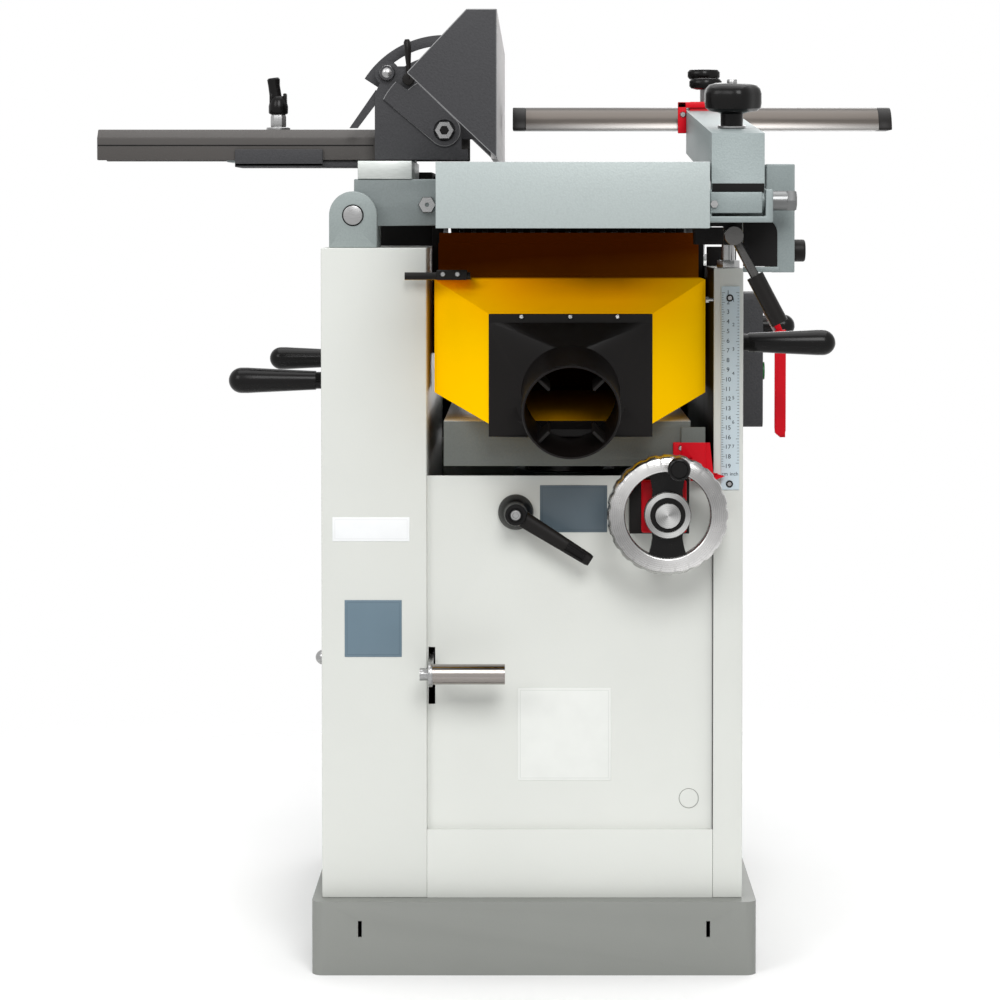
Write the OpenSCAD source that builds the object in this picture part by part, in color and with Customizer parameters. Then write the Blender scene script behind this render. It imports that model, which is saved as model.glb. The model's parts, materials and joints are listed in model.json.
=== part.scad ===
// Combination planer thicknesser on a cabinet stand, in millimetres.
// Origin: centre of the plinth's underside. +X operator side, +Y infeed end, +Z up.

/* [Plinth] */
// Width of the plinth
plinth_w = 464; // [420:1:520]
// Depth of the plinth along the tables
plinth_d = 610; // [580:1:700]
// Height of the plinth
plinth_h = 77; // [60:1:110]
// Sheet thickness of the plinth
plinth_wall = 3; // [2:0.5:5]
// Corner radius of the plinth
plinth_corner_r = 12; // [6:1:25]

/* [Cabinet] */
// Outside width of the cabinet
cab_w = 440; // [400:1:520]
// Depth of the cabinet along the tables
cab_d = 570; // [540:1:580]
// Width of the left column, which holds the drive
left_col_w = 110; // [100:1:120]
// Depth of the left column's top below the planing surface
left_col_drop = 85; // [83:1:89]
// Width of the right column
right_col_w = 31; // [26:1:36]
// Depth of the right column's top below the planing surface
right_col_drop = 106; // [98:1:120]
// Sheet thickness of the cabinet
sheet = 2.5; // [1.5:0.5:3]
// Depth of the end panels' top edge below the thicknesser table's surface
panel_drop = 58; // [54:1:75]
// Depth by which the end panels sit back
panel_setback = 7; // [4:1:12]
// Height of the flush rail under each end panel
panel_rail_h = 72; // [50:1:100]

/* [Tables] */
// Length over both planing tables
tables_l = 1080; // [960:2:1280]
// Height of the planing surface above the floor
table_top = 843; // [740:1:950]
// Depth of the table castings
table_h = 63.5; // [58:0.5:66]
// Thickness of the table plates
table_plate = 12; // [9:1:14]
// Thickness of the table skirts
table_skirt = 9; // [6:1:12]
// Gap between the two table lips
mouth_gap = 80; // [77:1:86]
// Depth of cut that the infeed table drops by
cut_depth = 4; // [2:0.5:4]

/* [Table hinges] */
// Distance from the hinge axis to the tables' left edge
hinge_reach = 95; // [90:1:100]
// Height of the hinge axis under the planing surface
hinge_drop = 51; // [49:1:53]
// Diameter of the hinge pins
hinge_pin_d = 20; // [16:1:24]
// Width of a hinge lug
lug_w = 50; // [44:1:54]
// Thickness of a hinge lug
lug_t = 20; // [14:1:24]
// Length of a hinge knuckle on a table arm
knuckle_l = 40; // [30:1:50]

/* [Fence] */
// Length of the fence
fence_l = 810; // [700:10:830]
// Height of the fence
fence_h = 145; // [130:1:160]
// Thickness of the fence plate
fence_t = 6; // [4:0.5:8]
// Gap between the fence and the tables
fence_gap = 4; // [2:0.5:6]
// Distance from the tables' left edge to the fence face
fence_set = 58; // [56:1:60]
// Length of the fence slide bar
bar_l = 398; // [360:1:400]
// Width of the fence slide bar
bar_w = 80; // [70:1:90]
// Height of the fence slide bar
bar_h = 33; // [30:1:36]
// Radius of the fence's tilt quadrant
quadrant_r = 102; // [98:1:104]
// Radius of the quadrant's slot
slot_r = 86; // [84:1:88]

/* [Guard] */
// Width of the square guard arm
arm_w = 51; // [44:1:54]
// Height of the square guard arm
arm_h = 48; // [40:1:50]
// Rise of the guard arm in degrees
arm_rise = 4.55; // [3:0.05:5]
// Length of the guard bar
guard_l = 427; // [400:1:440]
// Height of the guard bar's arch
guard_h = 26; // [22:1:30]
// Width of the guard bar
guard_w = 56; // [48:1:60]

/* [Cutter head] */
// Diameter of the cutterblock
block_d = 70; // [66:1:72]
// Diameter of the cutterblock's shaft
block_shaft_d = 25; // [20:1:30]
// Outside diameter of the cutterblock's bearings
bearing_d = 52; // [46:1:58]
// Thickness of the head plates that carry the cutterblock
head_plate_t = 12; // [10:1:12]
// Diameter of the feed rollers
roller_d = 40; // [34:1:42]
// Distance from the cutterblock to each feed roller
roller_y = 75; // [70:1:80]

/* [Thicknesser table] */
// Depth of the thicknesser table's surface below the planing surface
bed_drop = 265; // [263:1:271]
// Length of the thicknesser table
bed_l = 580; // [540:1:600]
// Height of the thicknesser table casting
bed_h = 47; // [40:1:48]
// Diameter of the table's pillar
pillar_d = 90; // [70:1:100]
// Diameter of the lead screw
screw_d = 22; // [18:1:24]

/* [Handwheel] */
// Outside diameter of the handwheel
wheel_d = 125; // [115:1:130]
// Diameter of the handwheel's inner opening
wheel_inner_d = 88; // [80:1:92]
// Thickness of the handwheel's rim
wheel_t = 20; // [16:1:24]
// Number of scallops around the rim
wheel_scallops = 24; // [12:1:30]
// Diameter of the crank knob
crank_d = 23.5; // [20:0.5:26]

/* [Hood] */
// Height of the hood's large end
hood_h = 118; // [105:1:120]
// Width of the hood's small end
hood_mouth_w = 168; // [150:1:190]
// Height of the hood's small end
hood_mouth_h = 113; // [100:1:114]
// Sheet thickness of the hood
hood_sheet = 2; // [1.5:0.5:3]
// Outside diameter of the dust port's collar
port_d = 100; // [96:1:104]
// Wall of the dust port
port_wall = 3; // [2:0.5:4]
// Length of the dust port's collar
port_l = 70; // [60:1:80]

/* [Drive] */
// Diameter of the motor
motor_d = 150; // [130:1:160]
// Length of the motor
motor_l = 210; // [180:1:220]
// Height of the motor's axis above the floor
motor_z = 205; // [195:1:215]
// Diameter of the motor's pulley
motor_pulley_d = 84; // [70:1:86]
// Diameter of the cutterblock's pulley
block_pulley_d = 44; // [40:1:45]

/* [Switch] */
// Depth of the switch box from the cabinet's side
switch_t = 38; // [30:1:45]
// Height of the switch box
switch_h = 150; // [130:1:160]
// Width of the switch box
switch_w = 96; // [80:1:110]

/* [Hidden] */

// Shared fits and counts
// overrun of every cut
over = 1;
// radial clearance of a running fit
fit = 0.05;
// gap between curved faces that pass each other
pass = 0.4;
// side gap between hinge cheeks
side = 0.5;
round_fn = 64;
soft_fn = 32;
hex_fn = 6;
full_turn = 360;

// Cabinet frame
cab_shift = -2;
cab_left = cab_shift - cab_w / 2;
cab_right = cab_shift + cab_w / 2;
cab_front = -cab_d / 2;
cab_back = cab_d / 2;
left_inner = cab_left + left_col_w;
right_inner = cab_right - right_col_w;
panel_front = cab_front + panel_setback;
panel_inside = panel_front + sheet;
bed_top = table_top - bed_drop;
panel_top = bed_top - panel_drop;
left_col_top = table_top - left_col_drop;
right_col_top = table_top - right_col_drop;

// Planing tables
table_edge_gap = 18;
table_left = left_inner + table_edge_gap;
table_right_gap = 19;
table_right = right_inner - table_right_gap;
table_front = -tables_l / 2;
table_under = table_top - table_h;
mouth = mouth_gap / 2;
rib_y = 132;
rib_count = 3;

// Table hinges
hinge_x = table_left - hinge_reach;
hinge_z = table_top - hinge_drop;
lug_inset = 10;
lug_front = cab_front + lug_inset;
knuckle_front = lug_front + lug_t + side;
lug_inner = knuckle_front + knuckle_l + side;
arm_under = 11;
arm_over = 38;
knuckle_d = 46;

// Table stops on the right column
stop_in = 16;
stop_x = right_inner + stop_in;
stop_w = 28;
stop_lug_t = 18;
stop_top = table_under - stop_lug_t;
stop_d = 14;
stop_nut_d = 24;
stop_nut_h = 8;
stop_root_deep = 4;

// Cutter head
block_z = table_top - block_d / 2;
block_inset = 2;
block_left = table_left + block_inset;
block_right = table_right - block_inset;
head_left = left_inner + head_plate_t;
head_right = right_inner - head_plate_t;
head_half = 100;
head_deep = 203;
head_bottom = table_top - head_deep;
shoulder_deep = 21;
head_shoulder = table_top - shoulder_deep;
neck_wall = 3;
neck_crown = 2;
head_neck = bearing_d / 2 + neck_wall;
head_neck_top = block_z + bearing_d / 2 + neck_crown;
roller_low = 1;
roller_z = block_z - block_d / 2 - roller_low + roller_d / 2;
roller_shaft_d = 20;
pulley_in = 38;
pulley_x = left_inner - pulley_in;
pulley_w = 25;
pulley_right = pulley_x + pulley_w;
shaft_tip = 5;
knife_count = 3;
knife_t = 3;
knife_h = 12;
block_chamfer = 3;
gullet_d = 11;
gullet_turn = -16;

// Drive
motor_shaft_d = 24;
motor_seat = 60;
motor_y = 170;
belt_t = 6;
belt_w = 19;
fin_count = 16;
fin_t = 3;
fin_h = 8;
cable_box = [70, 60, 34];
bracket_half = 92;
bracket_below = 95;
bracket_above = 95;
wall_hole_d = 70;
cover_half = 58;
cover_out = 22;
cover_left = pulley_x - cover_out;
cover_gap = 1.5;
cover_right = left_inner - cover_gap;
cover_deep = 3;
cover_top = table_top - cover_deep;
cover_wall = 2;
belt_slot_gap = 7.5;
belt_slot_x = [pulley_x - belt_slot_gap, pulley_right + belt_slot_gap];
belt_slot_half = cover_half - cover_wall;

// Thicknesser table and its lift
bed_left = table_left;
bed_short = 5;
bed_right = table_right - bed_short;
bed_half = bed_l / 2;
bed_under = bed_top - bed_h;
bed_plate = 12;
bed_skirt = 10;
pillar_x = (bed_left + bed_right) / 2;
shelf_deep = 190;
shelf_z = panel_top - shelf_deep;
shelf_t = 12;
shelf_half = 75;
shelf_top = shelf_z + shelf_t;
housing_wall = 12;
housing_deep = 15;
housing_top = panel_top - housing_deep;
pillar_lift = 20;
pillar_foot = shelf_top + pillar_lift;
wheel_in = 26;
wheel_x = bed_right - wheel_in;
wheel_deep = 35;
wheel_z = panel_top - wheel_deep;
wheel_shaft_d = 16;
screw_in = 35;
screw_y = -shelf_half + screw_in;
screw_over = 17;
screw_top = bed_under + screw_over;
nut_w = 34;
nut_l = 28;
nut_h = 20;
gear_r = 20;
gear_t = 7;
gear_reach = 17;
screw_collar_d = 34;
screw_collar_h = 20;

// Handwheel
wheel_out = 61;
wheel_front = cab_front - wheel_out;
wheel_back = wheel_front + wheel_t;
rim_scallop_d = 9;
rim_scallop_out = 2;
rim_scallop_r = wheel_d / 2 + rim_scallop_out;
spoke_w = 21;
hub_d = 48;
hub_face_d = 26;
hub_proud = 6;
crank_r = 51;
crank_turn = 79;
crank_l = 40;
crank_gap = 0.5;
crank_pin_d = 10;
bracket_reach = 38;
bracket_side = 24;
bracket_x = [wheel_x - bracket_reach, wheel_x + bracket_side];
bracket_deep = 23;
bracket_z = [wheel_z - bracket_deep, panel_top - over];
bracket_out = 21;
bracket_y = cab_front - bracket_out;

// Thickness lock and feed lever
lock_in = 93;
lock_x = left_inner + lock_in;
lock_deep = 38;
lock_z = panel_top - lock_deep;
lock_boss_d = 37;
lock_boss_l = 26;
lock_shaft_d = 14;
lock_reach = 92;
lock_turn = 32;
lock_arm_w = 16;
lock_arm_t = 12;
lock_nut_t = 12;
feed_up = 169;
feed_z = plinth_h + panel_rail_h + feed_up;
feed_back = 63;
feed_pivot_y = panel_front + feed_back;
feed_pivot_d = 12;
feed_gap = 3;
feed_x = left_inner + feed_gap;
feed_plate_t = 4;
feed_plate_h = 26;
feed_out = 37;
feed_grip_y = cab_front - feed_out;
feed_grip_d = 21;
feed_grip_l = 75;
feed_nut_d = 13;
feed_nut_l = 9;
feed_slot_up = 22;
feed_slot_down = 38;
feed_slot_w = 7;

// Dust hood and port
hood_gap = 8;
hood_left = left_inner + hood_gap;
hood_right = right_inner - hood_gap;
hood_mid = (hood_left + hood_right) / 2;
hood_lift = 29;
hood_bottom = bed_top + hood_lift;
hood_top = hood_bottom + hood_h;
hood_set = 13;
hood_face = cab_front + hood_set;
mouth_out = 45;
hood_mouth_y = cab_front - mouth_out;
hood_mouth_bottom = bed_top;
hood_mouth_top = hood_mouth_bottom + hood_mouth_h;
hood_back_gap = 8;
hood_back = -head_half - hood_back_gap;
lip_ahead = 32;
hood_lip_y = hood_back - lip_ahead;
lip_deep = 17.5;
hood_lip_top = table_under - lip_deep;
hood_pivot_y = -75;
pivot_up = 40;
hood_pivot_z = head_bottom + pivot_up;
hood_pin_d = 12;
port_plate_t = 4;
port_drop = 13;
port_up = 34;
port_z = hood_mouth_bottom + port_up;
port_tilt = 15;
port_boss_l = 16;
port_fin_t = 3;
port_fin_l = 34;
port_fin_h = 20;
fin_turns = [45, 135, 225, 315];
latch_out = 22;
latch_in = 46;
latch_x = [left_inner - latch_out, left_inner + latch_in];
latch_t = 3;
latch_rod_d = 8;
latch_back = 30;
latch_y = hood_mouth_y + latch_back;
latch_w = 26;

// Fence assembly
fence_face = table_left + fence_set;
fence_in = 50;
fence_front = table_front + fence_in;
fence_back = fence_front + fence_l;
fence_low = table_top + fence_gap;
fence_top = fence_low + fence_h;
fence_end_t = 5;
kite_in_share = 0.205;
kite_out_share = 0.605;
kite_shoulder_share = 0.575;
tilt_back = 59;
tilt_x = fence_face - tilt_back;
tilt_up = 39;
tilt_z = table_top + tilt_up;
tilt_pin_d = 14;
rail_in = 4;
rail_w = 57;
rail_x = [hinge_x + rail_in, hinge_x + rail_in + rail_w];
rail_lap = 1.5;
rail_l = 194;
rail_y = [knuckle_front - rail_lap, knuckle_front - rail_lap + rail_l];
rail_proud = 6;
rail_top = table_top + rail_proud;
rail_low = hinge_z + arm_over;
bar_in = 106;
bar_y = rail_y[0] + bar_in;
bar_back = 34;
bar_right = fence_face - bar_back;
bar_left = bar_right - bar_l;
bar_lift = 2;
bar_low = rail_top + bar_lift;
bar_top = bar_low + bar_h;
bar_wall = 9;
bar_chamfer = 9;
base_l = 202;
base_x = [rail_x[1] - base_l, rail_x[1]];
base_gap = 0.5;
base_half = bar_w / 2 - bar_wall - base_gap;
base_top = bar_top - bar_wall - base_gap;
clamp_in = 53;
clamp_x = base_x[0] + clamp_in;
clamp_d = 12;
clamp_slot_in = 28;
clamp_slot_l = 224;
clamp_slot = [bar_left + clamp_slot_in, bar_left + clamp_slot_in + clamp_slot_l];
clamp_slot_w = 13;
clamp_washer_d = 26;
clamp_washer_t = 3;
clamp_hex_d = 19;
clamp_hex_h = 14;
clamp_hub_d = 19;
clamp_hub_h = 24;
clamp_grip_d = 15;
clamp_grip_l = 46;
clamp_lean = 62;
bracket_ahead = 28;
bracket_front = bar_y - bar_w / 2 - bracket_ahead;
bracket_plate_t = 12;
foot_h = 11;
plate_reach = 74;
plate_rise = 38;
plate_crown = 68;
sector_back = 6;
quad_gap = 3;
quad_y = bracket_front + bracket_plate_t + quad_gap;
quad_t = 8;
quad_hub_r = 18;
quad_from_turn = 60;
quad_to_turn = 147;
slot_from_turn = 84;
slot_to_turn = 140;
quad_slot_w = 9;
bolt_turn = 135;
bolt_d = 8;
bolt_head_d = 15;
bolt_head_t = 7;
bolt_lug_r = 13;
lever_turn = 125;
lever_r = 66;
lever_d = 8;
lever_l = 42;
lever_grip_d = 13;

// Guard assembly
arm_gap = 3;
arm_x0 = table_right + arm_gap;
arm_x1 = arm_x0 + arm_w;
arm_in = 25;
arm_front = table_front + arm_in;
arm_back = -32;
arm_deep = 20;
arm_low = table_top - arm_deep;
arm_wall = 3;
pivot_in = 35;
guard_pivot_y = table_front + pivot_in;
pivot_deep = 37;
guard_pivot_z = table_top - pivot_deep;
guard_pin_d = 10;
pivot_lug_r = 11;
mount_in = 15;
mount_l = 40;
mount_y = [table_front + mount_in, table_front + mount_in + mount_l];
mount_top = guard_pivot_z + pivot_lug_r;
mount_deep = 21;
mount_base_z = guard_pivot_z - mount_deep;
mount_base_t = 6;
cheek_t = 7;
pivot_boss_d = 19;
pivot_boss_l = 17;
pivot_hex_d = 18;
pivot_hex_l = 7;
casting_gap = 40;
casting_w = 47;
casting_x = [table_right + casting_gap, table_right + casting_gap + casting_w];
casting_in = 70;
casting_l = 75;
casting_y = [table_front + casting_in, table_front + casting_in + casting_l];
casting_deep = 107;
casting_z = [table_top - casting_deep, table_top - over];
casting_step_w = 19;
casting_step_x = casting_x[0] + casting_step_w;
step_deep = 25;
casting_step_z = table_top - step_deep;
casting_arch_r = 24;
casting_knob_d = 21;
casting_knob_l = 12;
guard_gap = 12;
guard_x = fence_face + guard_gap;
guard_lift = 45;
guard_low = table_top + guard_lift;
guard_wall = 5;
cap_l = 15;
clip_in = 4;
clip_w = 37;
clip_x = [arm_x0 + clip_in, arm_x0 + clip_in + clip_w];
clip_t = 5;
clip_gap = 0.5;
knob_in = 120;
knob_y = table_front + knob_in;
knob_lobes = 6;
knob_d = 58;
knob_t = 22;
knob_lobe_d = 18;
knob_neck_d = 22;
knob_neck_h = 20;
wing_y = [-18, 18];
wing_neck_d = 12;
wing_neck_h = 12;
wing_d = 34;
wing_t = 10;
wing_lobe_d = 12;

// Table locks
tlock_out = 26;
tlock_x = table_right + tlock_out;
tlock_deep = 13;
tlock_z = mount_base_z - tlock_deep;
tlock_in = 50;
tlock_y = table_front + tlock_in;
tlock_hub_d = 18;
tlock_hub_l = 18;
tlock_pin_d = 10;
tlock_lug_t = 10;
tlock_turn = -62;
tlock_rod_d = 9;
tlock_rod_l = 44;
tlock_grip_d = 17;
tlock_grip_l = 52;

// Lifting handles
handle_in = 39;
handle_y = cab_back - handle_in;
handle_left_deep = 140;
handle_left_z = left_col_top - handle_left_deep;
handle_right_deep = 79;
handle_right_z = right_col_top - handle_right_deep;
handle_l = 100;
handle_root_d = 20;
handle_tip_d = 27;
handle_tip_share = 0.8;
handle_collar_d = 18;
handle_collar_l = 8;

// Scale, switch and kickback fingers
scale_in = 8;
scale_w = 19;
scale_x = [right_inner + scale_in, right_inner + scale_in + scale_w];
scale_below = 14;
scale_above = 19;
scale_z = [panel_top - scale_below, right_col_top - scale_above];
scale_t = 1.5;
switch_y = -10;
switch_deep = 107;
switch_z = right_col_top - switch_deep;
switch_corner = 8;
flap_x = cab_right + switch_t;
flap_gap = 6;
flap_h = 150;
flap_w = 74;
flap_t = 6;
flap_bulge = 14;
flap_bend_share = 0.25;
flap_pin_d = 6;
flap_deep = 12;
flap_top_z = switch_z + switch_h / 2 - flap_deep;
start_d = 20;
start_l = 9;
start_proud = 5;
start_seat = 8;
start_deep = 14;
start_z = switch_z - start_deep;
finger_out = 12;
finger_y = -head_half - finger_out;
finger_deep = 16;
finger_z = block_z - finger_deep;
finger_d = 12;
finger_count = 20;
finger_t = 7;
finger_reach = 21;
finger_r = 10;

// Box between two corners
module box(lo, hi) {
    translate(lo) cube(hi - lo);
}

// Round bars along each axis
module rod_x(x0, x1, y, z, d) {
    translate([x0, y, z]) rotate([0, 90, 0]) cylinder(h = x1 - x0, d = d, $fn = round_fn);
}

module rod_y(x, y0, y1, z, d) {
    translate([x, y0, z]) rotate([-90, 0, 0]) cylinder(h = y1 - y0, d = d, $fn = round_fn);
}

module rod_z(x, y, z0, z1, d) {
    translate([x, y, z0]) cylinder(h = z1 - z0, d = d, $fn = round_fn);
}

// Outline in X and Z, given thickness along Y
module slab_y(y0, y1) {
    translate([0, y1, 0]) rotate([90, 0, 0]) linear_extrude(y1 - y0) children();
}

// Outline in Y and Z, given thickness along X
module slab_x(x0, x1) {
    translate([x0, 0, 0]) rotate([90, 0, 90]) linear_extrude(x1 - x0) children();
}

// Both ends of the machine: the outfeed end and its mirror image
module both_ends() {
    children();
    mirror([0, 1, 0]) children();
}

// Pie slice about the origin, wide enough to reach past radius r
module wedge(r, from, to) {
    steps = 4;
    polygon(concat([[0, 0]], [for (i = [0 : steps])
        let (a = from + (to - from) * i / steps)
        [2 * r * cos(a), 2 * r * sin(a)]]));
}

// Folded steel plinth: closed sheet box with a deck hole and two vertical slots in its front
plinth_deck_w = 150;
plinth_deck_d = 210;
plinth_slot_x = 181.5;
plinth_slot_z = [40, 57];
plinth_slot_w = 4;
module plinth_block(inset, z0, z1) {
    r = plinth_corner_r - inset;
    w = plinth_w / 2 - inset;
    d = plinth_d / 2 - inset;
    box([-w + r, -d, z0], [w - r, d, z1]);
    box([-w, -d + r, z0], [w, d - r, z1]);
    for (sx = [-1, 1], sy = [-1, 1]) rod_z(sx * (w - r), sy * (d - r), z0, z1, 2 * r);
}

module plinth() {
    color("slategray") difference() {
        plinth_block(0, 0, plinth_h);
        plinth_block(plinth_wall, plinth_wall, plinth_h - plinth_wall);
        box([-plinth_deck_w, -plinth_deck_d, plinth_h / 2], [plinth_deck_w, plinth_deck_d, plinth_h + over]);
        for (s = [-1, 1]) {
            x = s * plinth_slot_x - plinth_slot_w / 2;
            box([x, -plinth_d / 2 - over, plinth_slot_z[0]],
                [x + plinth_slot_w, -plinth_d / 2 + plinth_wall + over, plinth_slot_z[1]]);
        }
    }
}

// Sheet columns, open underneath
module sheet_column(x0, x1, top) {
    difference() {
        box([x0, cab_front, plinth_h], [x1, cab_back, top]);
        box([x0 + sheet, cab_front + sheet, plinth_h - over], [x1 - sheet, cab_back - sheet, top - sheet]);
    }
}

// The left column also carries the feed lever's stud on its inner wall
module left_column() {
    color("ivory") difference() {
        union() {
            sheet_column(cab_left, left_inner, left_col_top);
            rod_x(left_inner - sheet, feed_x + feed_plate_t + sheet, feed_pivot_y, feed_z, feed_pivot_d);
        }
        box([belt_slot_x[0], -belt_slot_half, left_col_top - sheet - over],
            [belt_slot_x[1], belt_slot_half, left_col_top + over]);
        rod_x(left_inner - sheet - over, left_inner + over, motor_y, motor_z, wall_hole_d);
    }
}

module right_column() {
    color("ivory") sheet_column(right_inner, cab_right, right_col_top);
}

// End panel set back between the columns, with a flush box rail below it
module end_panel() {
    box([left_inner, panel_front, plinth_h], [right_inner, panel_inside, panel_top]);
    box([left_inner, cab_front, plinth_h], [right_inner, panel_inside, plinth_h + panel_rail_h]);
}

module front_panel() {
    slot_x = feed_x + feed_plate_t / 2 - feed_slot_w / 2;
    color("ivory") difference() {
        end_panel();
        box([slot_x, panel_front - over, feed_z - feed_slot_down],
            [slot_x + feed_slot_w, panel_inside + over, feed_z + feed_slot_up]);
        rod_y(wheel_x, panel_front - over, panel_inside + over, wheel_z, wheel_shaft_d + 2 * pass);
        rod_y(lock_x, panel_front - over, panel_inside + over, lock_z, lock_shaft_d + 2 * fit);
    }
}

module rear_panel() {
    color("ivory") mirror([0, 1, 0]) end_panel();
}

// Cast hinge lugs on the left column and the pins through them
module hinge_lug(y) {
    difference() {
        union() {
            rod_y(hinge_x, y, y + lug_t, hinge_z, lug_w);
            box([hinge_x - lug_w / 2, y, left_col_top], [hinge_x + lug_w / 2, y + lug_t, hinge_z]);
        }
        rod_y(hinge_x, y - over, y + lug_t + over, hinge_z, hinge_pin_d);
    }
}

module hinge_lugs() {
    color("gray") both_ends() {
        hinge_lug(lug_front);
        hinge_lug(lug_inner);
        box([hinge_x - lug_w / 2, lug_front + lug_t, left_col_top],
            [hinge_x + lug_w / 2, lug_inner, left_col_top + sheet]);
    }
}

module hinge_pins() {
    color("silver") both_ends()
        rod_y(hinge_x, lug_front - sheet, lug_inner + lug_t + sheet, hinge_z, hinge_pin_d);
}

// Tapered lifting handle with a domed tip, pointing along +X from the origin
module lifting_handle() {
    tip_r = handle_tip_d / 2;
    tip = handle_l - tip_r;
    rotate([0, 90, 0]) rotate_extrude($fn = round_fn) {
        polygon([[0, 0], [handle_collar_d / 2, 0], [handle_collar_d / 2, handle_collar_l],
            [handle_root_d / 2, handle_collar_l], [tip_r, handle_l * handle_tip_share],
            [tip_r, tip], [0, tip]]);
        translate([0, tip]) intersection() {
            circle(r = tip_r, $fn = round_fn);
            square(tip_r);
        }
    }
}

module lifting_handles() {
    color("black") both_ends() {
        translate([cab_right, -handle_y, handle_right_z]) lifting_handle();
        translate([cab_left, -handle_y, handle_left_z]) rotate([0, 0, 180]) lifting_handle();
    }
}

// Cover over the cutterblock's pulley
module belt_cover() {
    color("dimgray") difference() {
        box([cover_left, -cover_half, left_col_top], [cover_right, cover_half, cover_top]);
        box([cover_left + cover_wall, -cover_half + cover_wall, left_col_top - over],
            [cover_right - cover_wall, cover_half - cover_wall, cover_top - cover_wall]);
        rod_x(cover_right - cover_wall - over, cover_right + over, 0, block_z, bearing_d);
    }
}

// Head plates on the columns' inner walls carry the cutterblock and feed rollers
module head_plate(x0, x1) {
    difference() {
        slab_x(x0, x1) polygon([
            [-head_half, head_bottom], [head_half, head_bottom],
            [head_half, head_shoulder], [head_neck, head_shoulder],
            [head_neck, head_neck_top], [-head_neck, head_neck_top],
            [-head_neck, head_shoulder], [-head_half, head_shoulder]]);
        rod_x(x0 - over, x1 + over, 0, block_z, bearing_d);
        for (s = [-1, 1]) rod_x(x0 - over, x1 + over, s * roller_y, roller_z, roller_shaft_d + 2 * fit);
        rod_x(x0 - over, x1 + over, hood_pivot_y, hood_pivot_z, hood_pin_d + 2 * fit);
    }
}

module left_head_plate() {
    color("gray") head_plate(left_inner, head_left);
}

module right_head_plate() {
    color("gray") head_plate(head_right, right_inner);
}

module bearing_ring(x0, x1) {
    difference() {
        rod_x(x0, x1, 0, block_z, bearing_d);
        rod_x(x0 - over, x1 + over, 0, block_z, block_shaft_d + 2 * fit);
    }
}

module cutter_bearings() {
    color("silver") {
        bearing_ring(left_inner, head_left);
        bearing_ring(head_right, right_inner);
    }
}

// Motor with cooling fins and its mounting plate on the left column
module motor() {
    x1 = head_left + motor_l;
    color("dimgray") difference() {
        union() {
            rod_x(head_left, x1, motor_y, motor_z, motor_d - 2 * fin_h);
            rod_x(head_left, head_left + fin_h, motor_y, motor_z, motor_d);
            translate([head_left, motor_y, motor_z]) for (i = [0 : fin_count - 1])
                rotate([i * full_turn / fin_count, 0, 0])
                    translate([0, -fin_t / 2, 0]) cube([motor_l - fin_h, fin_t, motor_d / 2]);
            box([left_inner, motor_y - bracket_half, motor_z - bracket_below],
                [head_left, motor_y + bracket_half, motor_z + bracket_above]);
            translate([head_left + motor_l / 2 - cable_box[0] / 2, motor_y + motor_d / 2 - cable_box[2] / 2,
                motor_z - cable_box[1] / 2]) cube([cable_box[0], cable_box[2], cable_box[1]]);
        }
        rod_x(left_inner - over, head_left + motor_seat, motor_y, motor_z, motor_shaft_d + 2 * fit);
    }
}

// Motor shaft with its pulley
module motor_rotor() {
    color("silver") {
        rod_x(pulley_x - shaft_tip, head_left + motor_seat - side, motor_y, motor_z, motor_shaft_d);
        rod_x(pulley_x, pulley_right, motor_y, motor_z, motor_pulley_d);
    }
}

// Flat belt round both pulleys
module belt_loop(grow) {
    hull() {
        translate([motor_y, motor_z]) circle(d = motor_pulley_d + 2 * grow, $fn = soft_fn);
        translate([0, block_z]) circle(d = block_pulley_d + 2 * grow, $fn = soft_fn);
    }
}

module drive_belt() {
    x0 = pulley_x + (pulley_w - belt_w) / 2;
    color("black") slab_x(x0, x0 + belt_w) difference() {
        belt_loop(pass + belt_t);
        belt_loop(pass);
    }
}

// Cross casting between the columns that guides the thicknesser table's pillar and seats the screw
module pillar_housing() {
    color("gray") difference() {
        union() {
            box([left_inner, -shelf_half, shelf_z], [right_inner, shelf_half, shelf_top]);
            rod_z(pillar_x, 0, shelf_z, housing_top, pillar_d + 2 * housing_wall);
        }
        rod_z(pillar_x, 0, shelf_top, housing_top + over, pillar_d + 2 * fit);
        rod_z(wheel_x, screw_y, shelf_z - over, shelf_top + over, screw_d + 2 * fit);
    }
}

module scale_plate() {
    color("aliceblue")
        box([scale_x[0], cab_front - scale_t, scale_z[0]], [scale_x[1], cab_front, scale_z[1]]);
}

// Stop bolts with lock nuts on the right column
module stop_bolts() {
    y = cab_front + stop_w / 2;
    color("silver") both_ends() {
        rod_z(stop_x, y, right_col_top, stop_top, stop_d);
        translate([stop_x, y, right_col_top]) cylinder(h = stop_nut_h, d = stop_nut_d, $fn = hex_fn);
    }
}

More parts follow.
